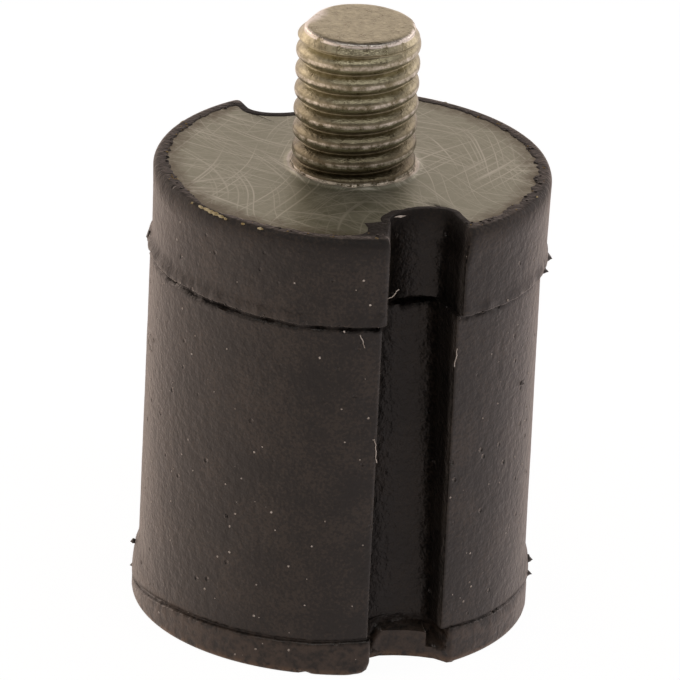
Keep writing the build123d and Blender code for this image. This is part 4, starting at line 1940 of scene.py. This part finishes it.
    def build_world(self) -> None:
        """Lights the scene from all round, brightest at the horizon, white where the camera sees it."""
        world = bpy.data.worlds.new("studio")
        bpy.context.scene.world = world
        world.use_nodes = True
        tree = world.node_tree
        tree.nodes.clear()
        way = add_node(tree, "ShaderNodeTexCoord").outputs["Generated"]
        height = add_node(tree, "ShaderNodeSeparateXYZ", {"Vector": way}).outputs["Z"]
        upward = add_node(tree, "ShaderNodeFloatCurve", {"Value": height})
        set_curve(upward, self.upward_levels)
        bright, colour = self.surroundings(tree, way, self.sky_levels)
        level = add_node(tree, "ShaderNodeMath", {
            0: upward.outputs["Value"], 1: bright}, operation="MULTIPLY")
        path = add_node(tree, "ShaderNodeLightPath").outputs
        lit = add_node(tree, "ShaderNodeBackground", {"Color": colour, "Strength": level.outputs["Value"]})
        white = add_node(tree, "ShaderNodeBackground", {"Color": (1.0, 1.0, 1.0, 1.0), "Strength": 1.0})
        sky = add_node(tree, "ShaderNodeMixShader", {
            0: path["Is Camera Ray"], 1: lit.outputs[0], 2: white.outputs[0]})
        add_node(tree, "ShaderNodeOutputWorld", {"Surface": sky.outputs[0]})

    def build_lamp(self, name: str, turn: float, rise: float, size: tuple[float, float], power: float,
                   colour: str) -> None:
        """Hangs one soft lamp that points at the mount.

        Args:
            name: The lamp's name.
            turn: Which way it hangs from the mount, in degrees from the camera, leftward below 0.
            rise: How high it hangs, in degrees above the floor.
            size: How wide and how tall it is, in metres.
            power: Its power in watts.
            colour: Its sRGB hex colour.
        """
        lamp = bpy.data.lights.new(name, "AREA")
        lamp.shape = "RECTANGLE"
        lamp.size, lamp.size_y = size
        lamp.energy = power
        lamp.color = linear(colour)[:3]
        holder = bpy.data.objects.new(name, lamp)
        bpy.context.scene.collection.objects.link(holder)
        a, e = math.radians(self.facing + turn), math.radians(rise)
        way = Vector((math.cos(a) * math.cos(e), math.sin(a) * math.cos(e), math.sin(e)))
        holder.location = way * 0.7 + Vector((0.0, 0.0, 0.012))
        holder.rotation_euler = way.to_track_quat("Z", "Y").to_euler()

    def build(self) -> None:
        """Builds the floor, the sky and the lamps."""
        self.build_floor()
        self.build_world()
        self.build_lamp("left_back_softbox", -128.0, 20.0, (0.36, 0.36), 0.48, "#ffe8d8")
        self.build_lamp("right_back_softbox", 128.0, 20.0, (0.36, 0.36), 0.42, "#fff0ea")
        self.build_lamp("overhead_softbox", 6.0, 66.0, (1.3, 0.16), 1.25, "#fff8f2")
        bpy.context.scene.view_settings.view_transform = "Standard"


@dataclass(frozen=True)
class CameraRig:
    """A long lens from the front left, a little above the mount. Lengths in millimetres."""

    eye: tuple[float, float, float] = (-187.348, -420.791, 214.529)
    aim: tuple[float, float, float] = (0.139, 0.856, 12.898)
    roll: float = 2.729
    lens: float = 557.2
    sensor: float = 36.0

    def build(self) -> None:
        """Builds the camera and makes it the scene's."""
        data = bpy.data.cameras.new("camera")
        data.lens = self.lens
        data.sensor_width = self.sensor
        data.clip_start = 0.01
        data.clip_end = 20.0
        camera = bpy.data.objects.new("camera", data)
        bpy.context.scene.collection.objects.link(camera)
        eye, aim = Vector(self.eye) * MM, Vector(self.aim) * MM
        level = (aim - eye).to_track_quat("-Z", "Y").to_matrix()
        turned = level @ Matrix.Rotation(math.radians(self.roll), 3, "Z")
        camera.matrix_world = Matrix.Translation(eye) @ turned.to_4x4()
        bpy.context.scene.camera = camera


# ---------------------------------------------------------------- assembly

# The larger flakes of rubber, of pale flash and of cement, most of them at the front. One pale
# flake, on the lining of the front notch, is a painted highlight.
FLASH = (
    Fin(-24.0, 18.1, 0.5, 0.5, 0.5), Fin(-33.0, 18.02, 0.5, 0.5, 0.3),
    Fin(-40.0, 18.01, 0.5, 0.16, 0.12), Fin(-47.0, 18.01, 0.4, 0.14, 0.09),
    Fin(-203.0, 18.3, 0.4, 0.2, 0.5), Fin(-204.0, 2.2, 0.3, 0.32, 0.24),
    Fin(-203.0, 1.02, 0.3, 0.26, 0.2), Fin(-23.0, 2.2, 0.4, 0.42, 0.42),
    Fin(-25.0, 1.62, 0.45, 0.66, 0.5), Fin(-45.5, 13.0, 0.5, 0.14, 0.24, 0.03),
    Fin(-147.0, 7.3, 0.22, 0.1, 0.22, 0.02), Fin(-150.0, 18.01, 0.5, 0.14, 0.08),
    Fin(-139.0, 18.01, 0.34, 0.16, 0.1), Fin(-127.0, 18.01, 0.42, 0.14, 0.08),
    Fin(-79.4, 18.05, 0.16, 0.14, 0.14), Fin(60.0, 18.01, 0.4, 0.14, 0.08),
    Fin(125.0, 18.01, 0.3, 0.14, 0.08))
PALE_FLASH_AND_HIGHLIGHT = (
    Fin(-184.0, 17.72, 0.5, 0.05, 0.06), Fin(-180.5, 17.74, 0.4, 0.05, 0.05),
    Fin(-176.5, 17.76, 0.5, 0.04, 0.05), Fin(-173.0, 17.76, 0.3, 0.04, 0.04),
    # A pale flake on the front notch's lining: a painted highlight on its rounded edge.
    Fin(-93.0, 22.36, 0.6, 0.13, 0.07, -3.0))
CEMENT = (
    Fin(-162.8, 22.39, 0.4, 0.16, 0.13, -0.14), Fin(-160.6, 22.4, 0.46, 0.2, 0.14, -0.17),
    Fin(-158.6, 22.39, 0.42, 0.26, 0.14, -0.14), Fin(-156.6, 22.4, 0.44, 0.3, 0.15, -0.12),
    Fin(-154.3, 22.39, 0.36, 0.22, 0.13, -0.1), Fin(-152.4, 22.38, 0.2, 0.16, 0.12, -0.06),
    Fin(-146.4, 22.39, 0.22, 0.14, 0.11, -0.12), Fin(-140.6, 22.39, 0.34, 0.15, 0.11, -0.12),
    Fin(-166.8, 22.39, 0.14, 0.14, 0.11, -0.1), Fin(-43.0, 22.38, 0.26, 0.16, 0.12, -0.22),
    Fin(38.0, 22.38, 0.36, 0.16, 0.12, -0.22), Fin(129.0, 22.38, 0.4, 0.18, 0.12, -0.2))

def set_in_frame(piece: Object, node: Node | None) -> None:
    """Ties a piece to the frame and reports it.

    Args:
        piece: The finished piece.
        node: The CAD node that it stands for, if any.
    """
    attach(piece, BODY)
    if node is not None:
        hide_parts(node.value)
    triangles = sum(len(p.vertices) - 2 for p in piece.data.polygons)
    log.info("%s: %d triangles", piece.name, triangles)


def main() -> None:
    """Builds every piece in order, then the stage and the camera."""
    logging.basicConfig(level=logging.INFO, format="%(message)s")
    rubber_finish = MouldedRubber().build()
    plate_finish = PlatedSteel(
        "zinc_plated_plate_steel", light="#b6b8a7", dark="#9b9e8b", scored="#cccdbf", roughness=0.45,
        scratches=5, stain_radius=8.1, relief=0.012, metal=0.86, burnish=3.2).build()
    # The stud's steel is darker low down and gets painted highlights on its crests, at its foot and on its
    # tip's edge.
    stud_finish = PlatedSteel(
        "zinc_plated_stud_steel", light="#d2ceb2", dark="#9d987d", scored="#b9b6a2", roughness=0.3,
        scratches=0, stain_radius=0.0, relief=0.05, grime=(22.6, 29.9),
        worn_bands=((22.3, 22.56), (29.37, 29.54)), worn_crest=2.933, mottle=0.45).build()
    dust_and_highlight_finish = LooseMatter("pale_dust_and_highlight", "#fbf5ef", "#c4bcb4").build()
    residue_finish = LooseMatter("dried_bonding_cement", "#b59f6c", "#6a5636", 0.3).build()
    cement_finish = LooseMatter("clean_bonding_cement", "#e6dcb6", "#a8935c", 0.3).build()

    body = RubberBody(height=high(Node.RUBBER))
    rubber = body.build(rubber_finish)
    set_in_frame(rubber, Node.RUBBER)

    top_plate = EndPlate("upper_plate", low(Node.TOP_PLATE), body.plate_thickness, hole_radius=2.955,
                         body=body, top=True, collar=0.12)
    set_in_frame(top_plate.build(plate_finish), Node.TOP_PLATE)
    bottom_plate = EndPlate("lower_plate", body.recess, body.plate_thickness, hole_radius=3.95,
                            body=body, top=False)
    set_in_frame(bottom_plate.build(plate_finish), Node.BOTTOM_PLATE)

    threads = ThreadTree()
    stud = Stud(high(Node.STUD), high(Node.TOP_PLATE), low(Node.TOP_PLATE), low(Node.STUD),
                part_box(Node.STUD.value)[1].x / MM)
    set_in_frame(stud.build(threads, stud_finish), Node.STUD)
    bush = TappedBush(body.recess, body.recess + body.plate_thickness, high(Node.BUSH),
                      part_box(Node.BUSH.value)[1].x / MM)
    set_in_frame(bush.build(threads, stud_finish), Node.BUSH)

    crumbs = CrumbTree()
    top, upper, lower = body.height, body.upper_parting, body.lower_parting
    side, rim = (9.0, 9.8), (top - 0.02, top + 0.1)
    for strewn, finish in (
        (Strewn("dust_specks", 0.26, 0.014, 0.062, 0.5, (0.4, top - 0.5), side, 14), dust_and_highlight_finish),
        (Strewn("parting_flash", 3.6, 0.02, 0.085, 0.8, (upper - 0.06, upper + 0.12), side, 5),
         rubber_finish),
        (Strewn("foot_flash", 0.7, 0.02, 0.075, 0.8, (lower - 0.10, lower + 0.04), side, 8),
         rubber_finish),
        (Strewn("rim_crumbs", 3.0, 0.03, 0.11, 0.5, rim, (8.4, 8.95), 3), rubber_finish),
        (Strewn("bonding_residue", 1.6, 0.02, 0.07, 0.5, rim, (8.5, 9.1), 21), residue_finish),
    ):
        set_in_frame(strewn.build(crumbs, rubber, finish), None)
    for name, fins, finish in (("flash_fins", FLASH, rubber_finish), ("pale_flash_and_highlight", PALE_FLASH_AND_HIGHLIGHT, dust_and_highlight_finish),
                               ("squeezed_cement", CEMENT, cement_finish)):
        set_in_frame(FlashFins(name, body, fins).build(finish), None)
    set_in_frame(Lint(body).build(ThreadletTree(), dust_and_highlight_finish), None)

    Studio().build()
    CameraRig().build()


if __name__ == "__main__":
    main()
